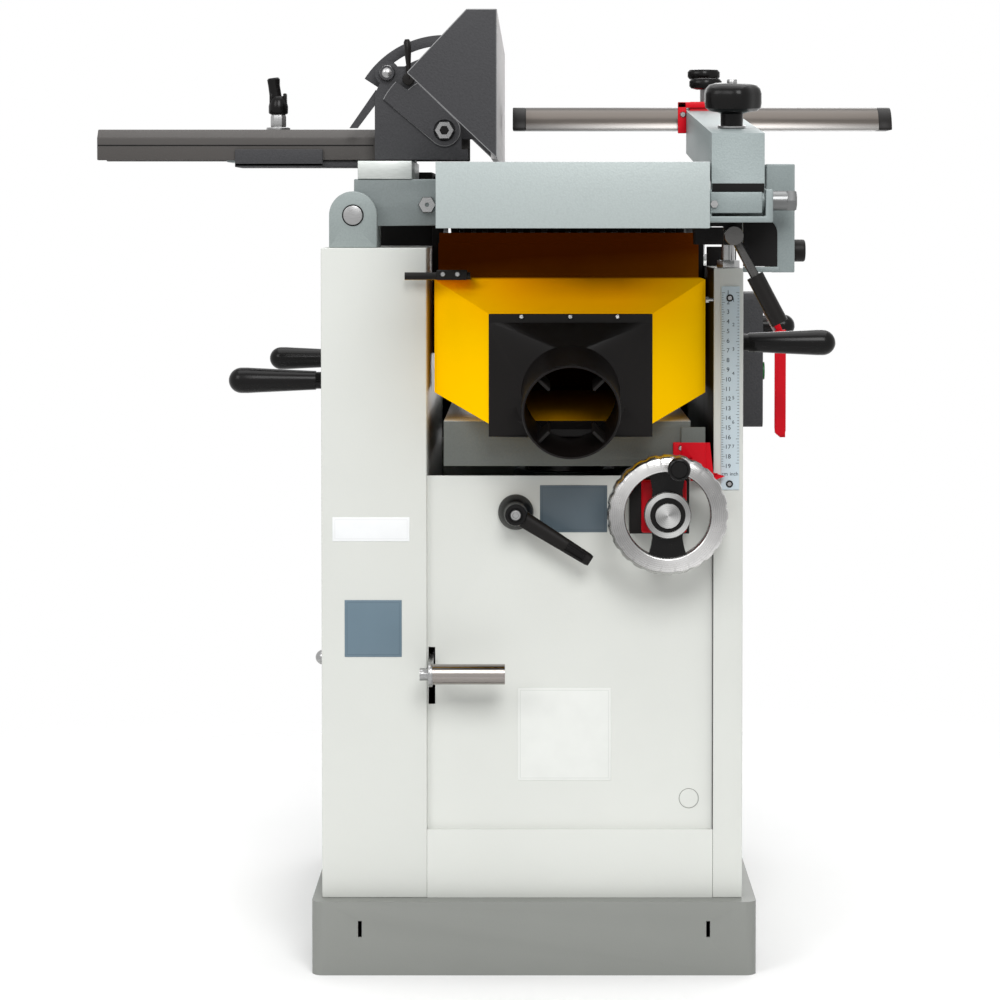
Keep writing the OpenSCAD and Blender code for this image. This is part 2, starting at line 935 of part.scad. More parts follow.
// Switch box with hinge ears for its flap and a guide for its start button
module switch_box() {
    y0 = switch_y - switch_w / 2;
    y1 = switch_y + switch_w / 2;
    z0 = switch_z - switch_h / 2;
    z1 = switch_z + switch_h / 2;
    color("black") difference() {
        union() {
            box([cab_right, y0 + switch_corner, z0], [flap_x, y1 - switch_corner, z1]);
            box([cab_right, y0, z0 + switch_corner], [flap_x, y1, z1 - switch_corner]);
            for (y = [y0 + switch_corner, y1 - switch_corner], z = [z0 + switch_corner, z1 - switch_corner])
                rod_x(cab_right, flap_x, y, z, 2 * switch_corner);
            for (s = [-1, 1]) {
                ear = switch_y + s * (flap_w / 2 + side);
                box([flap_x, min(ear, ear + s * flap_t), flap_top_z - flap_gap],
                    [flap_x + 2 * flap_gap, max(ear, ear + s * flap_t), flap_top_z + flap_gap]);
            }
        }
        rod_x(flap_x - start_seat, flap_x + over, switch_y, start_z, start_d + 2 * pass);
        for (s = [-1, 1]) {
            ear = switch_y + s * (flap_w / 2 + side);
            rod_y(flap_x + flap_gap, min(ear, ear + s * flap_t) - over, max(ear, ear + s * flap_t) + over,
                flap_top_z, flap_pin_d + 2 * fit);
        }
    }
}

// Bearing block of the handwheel's shaft
module wheel_bracket() {
    color("black") difference() {
        box([bracket_x[0], bracket_y, bracket_z[0]], [bracket_x[1], panel_front, bracket_z[1]]);
        rod_y(wheel_x, bracket_y - over, panel_front + over, wheel_z, wheel_shaft_d + 2 * fit);
    }
}

module finger_rod() {
    color("silver") {
        rod_x(head_left, head_right, finger_y, finger_z, finger_d);
        for (x = [[head_left, head_left + sheet], [head_right - sheet, head_right]])
            box([x[0], finger_y, finger_z - finger_d], [x[1], -head_half + over, finger_z + finger_d]);
    }
}

// Cast planing table at the outfeed end: plate, skirts, cross ribs and a lug above its stop bolt
module planing_table(stop_gap) {
    plate_low = table_top - table_plate;
    stop_back = cab_front + stop_w;
    difference() {
        union() {
            box([table_left, table_front, plate_low], [table_right, -mouth, table_top]);
            box([table_left, table_front, table_under], [table_right, -rib_y, plate_low]);
            box([table_right - over, cab_front, stop_top + stop_gap],
                [stop_x + stop_w / 2, stop_back, table_under]);
            box([table_right - over, cab_front, table_under],
                [table_right + table_skirt, stop_back, plate_low - stop_root_deep]);
        }
        bay = (-rib_y - table_front - table_skirt) / rib_count;
        for (i = [0 : rib_count - 1]) {
            y = table_front + table_skirt + i * bay;
            box([table_left + table_skirt, y, table_under - over],
                [table_right - table_skirt, y + bay - table_skirt, plate_low]);
        }
    }
}

module outfeed_table() {
    color("lightgray") planing_table(0);
}

// The infeed table carries its own lock lug
module infeed_table() {
    color("lightgray") mirror([0, 1, 0]) {
        planing_table(cut_depth + side);
        lock_lug(tlock_y + tlock_hub_l / 2 + side);
    }
}

// Hinge arm from the knuckle to a table's left edge
module hinge_arm(reach) {
    y1 = knuckle_front + knuckle_l;
    difference() {
        union() {
            rod_y(hinge_x, knuckle_front, y1, hinge_z, knuckle_d);
            box([hinge_x, knuckle_front, hinge_z - arm_under], [reach, y1, hinge_z + arm_over]);
        }
        rod_y(hinge_x, knuckle_front - over, y1 + over, hinge_z, hinge_pin_d + 2 * fit);
    }
}

arm_bolt_in = 18;
arm_bolt_x = table_left - arm_bolt_in;
arm_bolt_d = 16;
arm_bolt_t = 8;
module outfeed_arm() {
    color("gray") {
        hinge_arm(table_left);
        translate([arm_bolt_x, knuckle_front, hinge_z + arm_under]) rotate([90, 0, 0])
            cylinder(h = arm_bolt_t, d = arm_bolt_d, $fn = hex_fn);
    }
}

// Infeed arm with a dovetail post on which the infeed table rises and falls
post_t = 12;
post_gap = 0.5;
module infeed_arm() {
    x0 = table_left - post_gap - post_t;
    color("gray") mirror([0, 1, 0]) {
        hinge_arm(x0);
        box([x0, knuckle_front, table_under],
            [x0 + post_t, knuckle_front + knuckle_l + lug_t, hinge_z + arm_over]);
    }
}

// Rail on the outfeed arm, and the fence base clamped on it
module fence_rail() {
    color("gainsboro") box([rail_x[0], rail_y[0], rail_low], [rail_x[1], rail_y[1], rail_top]);
}

module fence_base() {
    y0 = bar_y - base_half;
    y1 = bar_y + base_half;
    color("dimgray") difference() {
        box([base_x[0], y0, rail_top], [base_x[1], y1, base_top]);
        rod_z(clamp_x, bar_y, rail_top - over, base_top + over, clamp_d + 2 * fit);
    }
}

// Sliding bar: an inverted channel with chamfered top edges and a clamp slot
module fence_bar() {
    y0 = bar_y - bar_w / 2;
    y1 = bar_y + bar_w / 2;
    color("darkslategray") difference() {
        slab_x(bar_left, bar_right) polygon([
            [y0, bar_low], [y0, bar_top - bar_chamfer], [y0 + bar_chamfer, bar_top],
            [y1 - bar_chamfer, bar_top], [y1, bar_top - bar_chamfer], [y1, bar_low],
            [y1 - bar_wall, bar_low], [y1 - bar_wall, bar_top - bar_wall],
            [y0 + bar_wall, bar_top - bar_wall], [y0 + bar_wall, bar_low]]);
        box([clamp_slot[0], bar_y - clamp_slot_w / 2, bar_low],
            [clamp_slot[1], bar_y + clamp_slot_w / 2, bar_top + over]);
    }
}

// Tilt bracket on the bar: foot, side plate, pivot pin and the bolt in the quadrant's slot
module tilt_bracket() {
    bolt_x = tilt_x + slot_r * cos(bolt_turn);
    bolt_z = tilt_z + slot_r * sin(bolt_turn);
    plate_back = bracket_front + bracket_plate_t;
    foot_top = bar_low + foot_h;
    bar_front = bar_y - bar_w / 2;
    color("dimgray") {
        box([tilt_x - plate_reach, bracket_front, bar_low], [bar_right, bar_front, foot_top]);
        slab_y(bracket_front, plate_back) {
            polygon([[tilt_x - plate_reach, foot_top - over], [tilt_x - plate_reach, tilt_z + plate_rise],
                [bolt_x, bolt_z + bolt_head_t], [tilt_x - sector_back, tilt_z + plate_crown],
                [tilt_x - sector_back, foot_top - over]]);
            translate([tilt_x, tilt_z]) circle(r = quad_hub_r, $fn = round_fn);
            translate([tilt_x - quad_hub_r, bar_low]) square([2 * quad_hub_r, tilt_z - bar_low]);
            translate([bolt_x, bolt_z]) circle(r = bolt_lug_r, $fn = round_fn);
        }
        rod_y(tilt_x, plate_back - over, bar_front, tilt_z, tilt_pin_d);
        translate([tilt_x, bracket_front, tilt_z]) rotate([90, 0, 0])
            cylinder(h = bolt_head_t, d = bolt_head_d, $fn = hex_fn);
        rod_y(bolt_x, plate_back - over, quad_y + quad_t + bolt_head_t, bolt_z, bolt_d);
        rod_y(bolt_x, bracket_front - bolt_head_t, bracket_front, bolt_z, bolt_head_d);
        rod_y(bolt_x, quad_y + quad_t + side, quad_y + quad_t + bolt_head_t, bolt_z, bolt_head_d);
    }
}

// Fence plate, its two kite-shaped ends and its tilting quadrant
module fence_plate() {
    color("gainsboro") box([fence_face - fence_t, fence_front + fence_end_t, fence_low],
        [fence_face, fence_back - fence_end_t, fence_top]);
}

module kite(y) {
    slab_y(y, y + fence_end_t) polygon([
        [fence_face, fence_low], [fence_face, fence_top],
        [fence_face - fence_h * kite_in_share, fence_top],
        [fence_face - fence_h * kite_out_share, fence_low + fence_h * kite_shoulder_share]]);
}

module fence_ends() {
    color("dimgray") {
        kite(fence_front);
        kite(fence_back - fence_end_t);
    }
}

module fence_quadrant() {
    back = fence_face - fence_t - tilt_x;
    color("dimgray") slab_y(quad_y, quad_y + quad_t) translate([tilt_x, tilt_z]) difference() {
        union() {
            intersection() {
                circle(r = quadrant_r, $fn = round_fn);
                wedge(quadrant_r, quad_from_turn, quad_to_turn);
            }
            circle(r = quad_hub_r, $fn = round_fn);
            polygon([[0, -quad_hub_r / 2], [back, -quad_hub_r / 2], [back, slot_r], [0, slot_r]]);
        }
        intersection() {
            difference() {
                circle(r = slot_r + quad_slot_w / 2 + side, $fn = round_fn);
                circle(r = slot_r - quad_slot_w / 2 - side, $fn = round_fn);
            }
            wedge(quadrant_r, slot_from_turn, slot_to_turn);
        }
        circle(d = tilt_pin_d + 2 * fit, $fn = round_fn);
    }
}

// Clamp lever above the bar: washer, hex spacer, hub and leaning grip on one bolt
module fence_clamp() {
    z1 = bar_top + clamp_washer_t;
    z2 = z1 + clamp_hex_h;
    color("black") translate([clamp_x, bar_y, 0]) {
        rod_z(0, 0, rail_top - clamp_washer_t, z2, clamp_d);
        rod_z(0, 0, bar_top, z1, clamp_washer_d);
        translate([0, 0, z1]) cylinder(h = clamp_hex_h, d = clamp_hex_d, $fn = hex_fn);
        rod_z(0, 0, z2, z2 + clamp_hub_h, clamp_hub_d);
        translate([0, 0, z2 + clamp_hub_h - clamp_grip_d / 2]) rotate([0, clamp_lean - 90, 0])
            cylinder(h = clamp_grip_l, d = clamp_grip_d, $fn = round_fn);
    }
}

// Small lever that locks the tilt, on the face of the side plate
module tilt_lever() {
    x = tilt_x + lever_r * cos(lever_turn);
    z = tilt_z + lever_r * sin(lever_turn);
    color("black") {
        rod_y(x, bracket_front - lever_grip_d, bracket_front, z, lever_grip_d);
        rod_z(x, bracket_front - lever_grip_d / 2, z, z + lever_l, lever_d);
        rod_z(x, bracket_front - lever_grip_d / 2, z + lever_l / 2, z + lever_l, lever_grip_d);
    }
}

// Guard mount on the outfeed table's right side: fork, side casting and lock lug
module lock_lug(y) {
    box([table_right, y, tlock_z + tlock_hub_d / 2],
        [tlock_x + tlock_hub_d / 2, y + tlock_lug_t, mount_base_z]);
    difference() {
        box([tlock_x - tlock_hub_d / 2, y, tlock_z - tlock_hub_d / 2],
            [tlock_x + tlock_hub_d / 2, y + tlock_lug_t, tlock_z + tlock_hub_d / 2]);
        rod_y(tlock_x, y - over, y + tlock_lug_t + over, tlock_z, tlock_pin_d + 2 * fit);
    }
}

module guard_mount() {
    base_top = mount_base_z + mount_base_t;
    lug_y = tlock_y + tlock_hub_l / 2 + side;
    cheek_out = arm_x1 + side + cheek_t;
    mid_y = (casting_y[0] + casting_y[1]) / 2;
    color("gray") difference() {
        union() {
            box([table_right, mount_y[0], mount_base_z], [cheek_out, mount_y[1] + tlock_lug_t, base_top]);
            box([table_right, mount_y[0], mount_base_z], [arm_x0 - side, mount_y[1], mount_top]);
            box([arm_x1 + side, mount_y[0], mount_base_z], [cheek_out, mount_y[1], mount_top]);
            lock_lug(lug_y);
            box([table_right, casting_y[0], mount_base_z],
                [casting_x[0] + over, casting_y[1], mount_top - cheek_t]);
            box([casting_x[0], casting_y[0], casting_z[0]], [casting_x[1], casting_y[1], casting_step_z]);
            box([casting_step_x, casting_y[0], casting_step_z - over],
                [casting_x[1], casting_y[1], casting_z[1]]);
            rod_x(casting_x[1] - over, casting_x[1] + casting_knob_l, mid_y, casting_z[0] + casting_knob_d,
                casting_knob_d);
        }
        rod_x(table_right - over, cheek_out + over, guard_pivot_y, guard_pivot_z, guard_pin_d);
        rod_y(casting_x[0], casting_y[0] - over, casting_y[1] + over, casting_z[0], 2 * casting_arch_r);
    }
}

module guard_pivot() {
    cheek_out = arm_x1 + side + cheek_t;
    boss_out = cheek_out + pivot_boss_l;
    color("silver") {
        rod_x(table_right, cheek_out, guard_pivot_y, guard_pivot_z, guard_pin_d);
        rod_x(cheek_out, boss_out, guard_pivot_y, guard_pivot_z, pivot_boss_d);
        translate([boss_out, guard_pivot_y, guard_pivot_z]) rotate([0, 90, 0])
            cylinder(h = pivot_hex_l, d = pivot_hex_d, $fn = hex_fn);
    }
}

// Height of the guard arm's underside at a place along it
function arm_under_z(y) = arm_low + (y - arm_front) * tan(arm_rise);

// Square guard arm, rising towards the cutterblock, with its pivot lug
module guard_arm() {
    inset = arm_wall;
    color("gray") difference() {
        union() {
            slab_x(arm_x0, arm_x1) polygon([
                [arm_front, arm_under_z(arm_front)], [arm_back, arm_under_z(arm_back)],
                [arm_back, arm_under_z(arm_back) + arm_h], [arm_front, arm_under_z(arm_front) + arm_h]]);
            rod_x(arm_x0, arm_x1, guard_pivot_y, guard_pivot_z, 2 * pivot_lug_r);
            box([arm_x0, guard_pivot_y - pivot_lug_r + over, guard_pivot_z],
                [arm_x1, guard_pivot_y + pivot_lug_r, arm_low + arm_wall]);
        }
        slab_x(arm_x0 + inset, arm_x1 - inset) polygon([
            [arm_front + inset, arm_under_z(arm_front) + inset],
            [arm_back + over, arm_under_z(arm_back) + inset],
            [arm_back + over, arm_under_z(arm_back) + arm_h - inset],
            [arm_front + inset, arm_under_z(arm_front) + arm_h - inset]]);
        rod_x(arm_x0 - over, arm_x1 + over, guard_pivot_y, guard_pivot_z, guard_pin_d + 2 * fit);
    }
}

// Clip on the arm's end that holds the guard bar from above and in front
module guard_clip() {
    half = guard_w / 2;
    top = guard_low + guard_h + clip_gap;
    color("red") {
        box([clip_x[0], arm_back, top], [clip_x[1], half, top + clip_t]);
        box([clip_x[0], arm_back, guard_low - clip_t], [clip_x[1], -half - clip_gap, top + clip_t]);
        box([clip_x[0], half + clip_gap, guard_low - clip_t],
            [clip_x[1], half + clip_gap + clip_t, top + clip_t]);
        for (y = [-half - clip_gap, half - clip_t + clip_gap])
            box([clip_x[0], y, guard_low - clip_t], [clip_x[1], y + clip_t, guard_low - clip_gap]);
    }
}

// Arched guard bar and its end caps
module guard_arch(inset) {
    half = guard_w / 2 - inset;
    rise = guard_h - 2 * inset;
    r = (half * half + rise * rise) / (2 * rise);
    intersection() {
        translate([0, guard_low + inset + rise - r]) circle(r = r, $fn = round_fn * 2);
        translate([-half, guard_low + inset]) square([2 * half, rise]);
    }
}

module guard_bar() {
    color("silver") difference() {
        slab_x(guard_x + cap_l, guard_x + guard_l - cap_l) guard_arch(0);
        slab_x(guard_x + cap_l - over, guard_x + guard_l - cap_l + over) guard_arch(guard_wall);
    }
}

module guard_caps() {
    color("black") for (x = [guard_x, guard_x + guard_l - cap_l]) slab_x(x, x + cap_l) guard_arch(0);
}

// Lobed knob with its neck, standing on the origin
module lobed_knob(lobes, d, t, lobe_d, neck_d, neck_h) {
    cylinder(h = neck_h, d = neck_d, $fn = round_fn);
    translate([0, 0, neck_h]) {
        cylinder(h = t, d = d - lobe_d, $fn = round_fn);
        for (i = [0 : lobes - 1]) rotate(i * full_turn / lobes)
            translate([(d - lobe_d) / 2, 0, 0]) cylinder(h = t, d = lobe_d, $fn = round_fn);
    }
}

knob_tilt = arm_rise;
module guard_knob() {
    color("black") translate([(arm_x0 + arm_x1) / 2, knob_y, arm_under_z(knob_y) + arm_h + fit])
        rotate([knob_tilt, 0, 0])
            lobed_knob(knob_lobes, knob_d, knob_t, knob_lobe_d, knob_neck_d, knob_neck_h);
}

wing_lobes = 2;
module clip_knob(y, neck_h) {
    translate([(clip_x[0] + clip_x[1]) / 2, y, guard_low + guard_h + clip_gap + clip_t])
        lobed_knob(wing_lobes, wing_d, wing_t, wing_lobe_d, wing_neck_d, neck_h);
}

module clip_knob_front() {
    color("black") clip_knob(wing_y[0], wing_neck_h);
}

module clip_knob_rear() {
    color("black") clip_knob(wing_y[1], 2 * wing_neck_h);
}

// Table lock lever: hub and pin, bright rod and moulded grip
module table_lock() {
    y0 = tlock_y - tlock_hub_l / 2;
    y1 = tlock_y + tlock_hub_l / 2;
    rod_y(tlock_x, y0, y1, tlock_z, tlock_hub_d);
    rod_y(tlock_x, y1 - over, y1 + side + tlock_lug_t, tlock_z, tlock_pin_d);
    translate([tlock_x, tlock_y, tlock_z]) rotate([0, 90 - tlock_turn, 0]) {
        cylinder(h = tlock_rod_l, d = tlock_rod_d, $fn = round_fn);
        translate([0, 0, tlock_rod_l]) cylinder(h = tlock_grip_l, d = tlock_grip_d, $fn = round_fn);
    }
}

module outfeed_lock() {
    color("black") table_lock();
}

module infeed_lock() {
    color("black") mirror([0, 1, 0]) table_lock();
}

// Thicknesser table: plate and skirts, with the lead screw's nut underneath
pointer_gap = 3;
pointer_x = [bed_right, scale_x[0] - pointer_gap];
pointer_out = 6;
pointer_y = -bed_half - pointer_out;
pointer_t = 3;
pointer_low = 9;
pointer_high = 6;
pointer_z = [bed_under + pointer_low, bed_top - pointer_high];
pointer_tip = 14;
pointer_hang = 7;
pointer_tip_z = bed_under - pointer_hang;
module thicknesser_table() {
    plate_low = bed_top - bed_plate;
    color("gray") {
        difference() {
            box([bed_left, -bed_half, bed_under], [bed_right, bed_half, bed_top]);
            box([bed_left + bed_skirt, -bed_half + bed_skirt, bed_under - over],
                [bed_right - bed_skirt, bed_half - bed_skirt, plate_low]);
        }
        rod_z(pillar_x, 0, bed_under, plate_low, pillar_d);
        difference() {
            box([wheel_x - nut_w / 2, screw_y - nut_l / 2, bed_under - nut_h],
                [wheel_x + nut_w / 2, screw_y + nut_l / 2, plate_low]);
            rod_z(wheel_x, screw_y, bed_under - nut_h - over, plate_low - over, screw_d + 2 * fit);
        }
        slab_y(pointer_y, pointer_y + pointer_t) polygon([
            [pointer_x[0], pointer_z[0]], [pointer_x[0], pointer_z[1]],
            [pointer_x[1] - pointer_tip, pointer_z[1]],
            [pointer_x[1] - pointer_tip, pointer_tip_z], [pointer_x[1], pointer_tip_z],
            [pointer_x[1] - pointer_tip, pointer_tip_z - pointer_t],
            [pointer_x[1] - 2 * pointer_tip, pointer_tip_z - pointer_t],
            [pointer_x[1] - 2 * pointer_tip, pointer_z[0]]]);
        box([pointer_x[0] - bed_skirt, pointer_y + pointer_t, pointer_z[0]],
            [pointer_x[0], -bed_half, pointer_z[1]]);
        box([pointer_x[0] - bed_skirt, pointer_y, pointer_z[0]],
            [pointer_x[0] + over, pointer_y + pointer_t, pointer_z[1]]);
    }
}

module table_pillar() {
    color("silver") rod_z(pillar_x, 0, pillar_foot, bed_under, pillar_d);
}

// Bevel gear cone with its apex at the origin, opening towards -Z
module bevel(r, t, reach) {
    translate([0, 0, -reach - t]) cylinder(h = t, r1 = r, r2 = r - t, $fn = round_fn);
}

// Upright screw with its gear and foot collar
module lead_screw() {
    color("silver") {
        rod_z(wheel_x, screw_y, shelf_z, screw_top, screw_d);
        rod_z(wheel_x, screw_y, shelf_top, shelf_top + screw_collar_h, screw_collar_d);
        translate([wheel_x, screw_y, wheel_z]) bevel(gear_r, gear_t, gear_reach);
    }
}

// Handwheel: scalloped rim, two spokes, hub, shaft and bevel gear
module handwheel() {
    color("silver") {
        difference() {
            rod_y(wheel_x, wheel_front, wheel_back, wheel_z, wheel_d);
            rod_y(wheel_x, wheel_front - over, wheel_back + over, wheel_z, wheel_inner_d);
            for (i = [0 : wheel_scallops - 1]) rotate_about_wheel((i + 1 / 2) * full_turn / wheel_scallops)
                rod_y(wheel_x + rim_scallop_r, wheel_front - over, wheel_back + over, wheel_z, rim_scallop_d);
        }
        box([wheel_x - spoke_w / 2, wheel_front + hub_proud, wheel_z - wheel_inner_d / 2 - hub_proud],
            [wheel_x + spoke_w / 2, wheel_back - hub_proud, wheel_z + wheel_inner_d / 2 + hub_proud]);
        rod_y(wheel_x, wheel_front, wheel_back, wheel_z, hub_d);
        rod_y(wheel_x, wheel_front - hub_proud, wheel_front, wheel_z, hub_face_d);
        rod_y(wheel_x, wheel_back, screw_y - gear_reach, wheel_z, wheel_shaft_d);
        translate([wheel_x, screw_y, wheel_z]) rotate([-90, 0, 0]) bevel(gear_r, gear_t, gear_reach);
        rotate_about_wheel(crank_turn)
            rod_y(wheel_x + crank_r, wheel_front - crank_l, wheel_front + over, wheel_z, crank_pin_d);
    }
}

// Turns its children about the handwheel's axis, anticlockwise seen from the front
module rotate_about_wheel(a) {
    translate([wheel_x, 0, wheel_z]) rotate([0, -a, 0]) translate([-wheel_x, 0, -wheel_z]) children();
}

// Crank knob that spins on the handwheel's pin
module crank_knob() {
    color("black") rotate_about_wheel(crank_turn) difference() {
        rod_y(wheel_x + crank_r, wheel_front - crank_l, wheel_front - crank_gap, wheel_z, crank_d);
        rod_y(wheel_x + crank_r, wheel_front - crank_l - over, wheel_front + over, wheel_z,
            crank_pin_d + 2 * fit);
    }
}

// Lever that locks the thicknesser table, with its shaft through the front panel
module thickness_lock() {
    face = panel_front - lock_boss_l;
    color("black") {
        rod_y(lock_x, face, panel_front, lock_z, lock_boss_d);
        rod_y(lock_x, panel_front - over, panel_inside + lock_nut_t, lock_z, lock_shaft_d);
        translate([lock_x, panel_inside, lock_z]) rotate([-90, 0, 0])
            cylinder(h = lock_nut_t, d = 2 * lock_shaft_d, $fn = hex_fn);
        translate([lock_x, face, lock_z]) rotate([0, lock_turn, 0])
            translate([0, 0, -lock_arm_w / 2]) cube([lock_reach, lock_arm_t, lock_arm_w]);
    }
}

// Feed lever: plate on its pivot, bright grip and the grip's nut
module feed_lever() {
    x1 = feed_x + feed_plate_t;
    color("silver") {
        difference() {
            union() {
                box([feed_x, feed_grip_y, feed_z - feed_plate_h / 2],
                    [x1, feed_pivot_y, feed_z + feed_plate_h / 2]);
                rod_x(feed_x, x1, feed_pivot_y, feed_z, feed_plate_h);
                rod_x(feed_x, x1, feed_grip_y, feed_z, feed_plate_h);
            }
            rod_x(feed_x - over, x1 + over, feed_pivot_y, feed_z, feed_pivot_d + 2 * fit);
        }
        rod_x(x1, x1 + feed_grip_l, feed_grip_y, feed_z, feed_grip_d);
        rod_x(feed_x - feed_nut_l, feed_x, feed_grip_y, feed_z, feed_nut_d);
    }
}

// Yellow chip hood: box under the cutterblock, funnel towards the front, lip and pivot ears
module hood_funnel(inset, y0, y1) {
    mouth_x0 = hood_mid - hood_mouth_w / 2 + inset;
    hull() {
        box([hood_left + inset, y1 - hood_sheet, hood_bottom + inset],
            [hood_right - inset, y1, hood_top - inset]);
        box([mouth_x0, y0, hood_mouth_bottom + inset],
            [mouth_x0 + hood_mouth_w - 2 * inset, y0 + hood_sheet, hood_mouth_top - inset]);
    }
}

ear_half = 12;
ear_set = 6;
ear_t = 4;
pin_in = 8;
module hood_ear(x_in, x_pin) {
    wall_y = hood_back - hood_sheet;
    box([min(x_in, x_in + ear_t), wall_y, hood_pivot_z - ear_half],
        [max(x_in, x_in + ear_t), hood_pivot_y, hood_pivot_z + ear_half]);
    rod_x(min(x_in, x_in + ear_t), max(x_in, x_in + ear_t), hood_pivot_y, hood_pivot_z, 2 * ear_half);
    rod_x(min(x_in, x_pin), max(x_in, x_pin), hood_pivot_y, hood_pivot_z, hood_pin_d);
}

module dust_hood() {
    color("gold") {
        difference() {
            union() {
                box([hood_left, hood_face - hood_sheet, hood_bottom], [hood_right, hood_back, hood_top]);
                hood_funnel(0, hood_mouth_y, hood_face);
            }
            box([hood_left + hood_sheet, hood_face - 2 * hood_sheet, hood_bottom + hood_sheet],
                [hood_right - hood_sheet, hood_back - hood_sheet, hood_top - hood_sheet]);
            box([hood_left + hood_sheet, hood_lip_y, hood_bottom + hood_sheet],
                [hood_right - hood_sheet, hood_back - hood_sheet, hood_top + over]);
            hood_funnel(hood_sheet, hood_mouth_y - over, hood_face);
        }
        box([hood_left, hood_lip_y - hood_sheet, hood_top - hood_sheet],
            [hood_right, hood_lip_y, hood_lip_top]);
        hood_ear(hood_left + ear_set, left_inner + pin_in / 2);
        hood_ear(hood_right - ear_set - ear_t, right_inner - pin_in / 2);
        box([latch_x[0] + latch_w, latch_y, hood_top], [latch_x[1], hood_face + latch_w, hood_top + latch_t]);
        rod_x(latch_x[0], latch_x[1], latch_y, hood_top + latch_rod_d / 2, latch_rod_d);
    }
}

// Moulded dust port: flange plate, tilted boss with an open collar and four inner fins
module port_frame() {
    translate([hood_mid, hood_mouth_y - port_plate_t, port_z]) rotate([90 + port_tilt, 0, 0]) children();
}

module dust_port() {
    x0 = hood_mid - hood_mouth_w / 2;
    z0 = hood_mouth_bottom - port_drop;
    y0 = hood_mouth_y - port_plate_t;
    inner_d = port_d - 2 * port_wall;
    color("black") {
        difference() {
            union() {
                box([x0, y0, z0], [x0 + hood_mouth_w, hood_mouth_y, hood_mouth_top]);
                difference() {
                    port_frame() translate([0, 0, -port_l])
                        cylinder(h = port_l + port_boss_l, d = port_d + 2 * port_wall, $fn = round_fn);
                    box([x0 - port_l, hood_mouth_y, z0 - 2 * port_l],
                        [x0 + hood_mouth_w + port_l, hood_mouth_y + 3 * port_l, hood_mouth_top + 2 * port_l]);
                }
                port_frame() translate([0, 0, port_boss_l - over])
                    cylinder(h = port_l - port_boss_l + over, d = port_d, $fn = round_fn);
            }
            port_frame() translate([0, 0, -2 * port_l]) cylinder(h = 4 * port_l, d = inner_d, $fn = round_fn);
        }
        port_frame() for (a = fin_turns) rotate(a)
            translate([inner_d / 2 - port_fin_h, -port_fin_t / 2, port_l - port_fin_l - port_wall])
                cube([port_fin_h + port_wall / 2, port_fin_t, port_fin_l]);
    }
}

// Cutterblock with knives, chip gullets and pulley on one shaft
module cutterblock() {
    body_r = block_d / 2 - block_chamfer;
    color("silver") {
        difference() {
            rod_x(block_left, block_right, 0, block_z, 2 * body_r);
            for (i = [0 : knife_count - 1]) translate([0, 0, block_z])
                rotate([i * full_turn / knife_count + gullet_turn, 0, 0])
                    rod_x(block_left - over, block_right + over, 0, body_r, gullet_d);
        }
        translate([block_left, 0, block_z]) for (i = [0 : knife_count - 1])
            rotate([i * full_turn / knife_count, 0, 0]) translate([0, -knife_t / 2, body_r - knife_h])
                cube([block_right - block_left, knife_t, block_d / 2 - pass - body_r + knife_h]);
        rod_x(pulley_x - shaft_tip, block_left + over, 0, block_z, block_shaft_d);
        rod_x(block_right - over, right_inner - shaft_tip, 0, block_z, block_shaft_d);
        rod_x(pulley_x, pulley_right, 0, block_z, block_pulley_d);
    }
}

// Rubber feed roller at either side of the cutterblock
module feed_roller(y) {
    rod_x(block_left, block_right, y, roller_z, roller_d);
    rod_x(left_inner + side, right_inner - side, y, roller_z, roller_shaft_d);
}

module infeed_roller() {
    color("dimgray") feed_roller(-roller_y);
}

module outfeed_roller() {
    color("dimgray") feed_roller(roller_y);
}

// Row of kickback fingers hanging on their rod
module kickback_fingers() {
    pitch = (block_right - block_left) / finger_count;
    color("dimgray") for (i = [0 : finger_count - 1]) {
        x = block_left + (i + 1 / 2) * pitch - finger_t / 2;
        difference() {
            union() {
                rod_x(x, x + finger_t, finger_y, finger_z, 2 * finger_r);
                box([x, finger_y, finger_z - finger_reach], [x + finger_t, finger_y + finger_r, finger_z]);
            }
            rod_x(x - over, x + finger_t + over, finger_y, finger_z, finger_d + 2 * fit);
        }
    }
}

// Hinged stop flap over the switch box
module stop_flap() {
    x0 = flap_x + flap_gap;
    x1 = x0 + flap_bulge;
    y0 = switch_y - flap_w / 2;
    z1 = flap_top_z + flap_t / 2;
    bend_z = flap_top_z - flap_h * flap_bend_share;
    color("red") {
        slab_y(y0, y0 + flap_w) polygon([
            [x0 - flap_t / 2, z1], [x0 + flap_t / 2, z1], [x1 + flap_t, bend_z],
            [x1 + flap_t, flap_top_z - flap_h], [x1, flap_top_z - flap_h], [x1, bend_z],
            [x0 - flap_t / 2, flap_top_z - flap_gap]]);
        rod_y(x0, y0 - flap_t, y0 + flap_w + flap_t, flap_top_z, flap_pin_d);
    }
}

// Green start button in its seat
module start_button() {
    color("green") rod_x(flap_x + start_proud - start_l, flap_x + start_proud, switch_y, start_z, start_d);
}

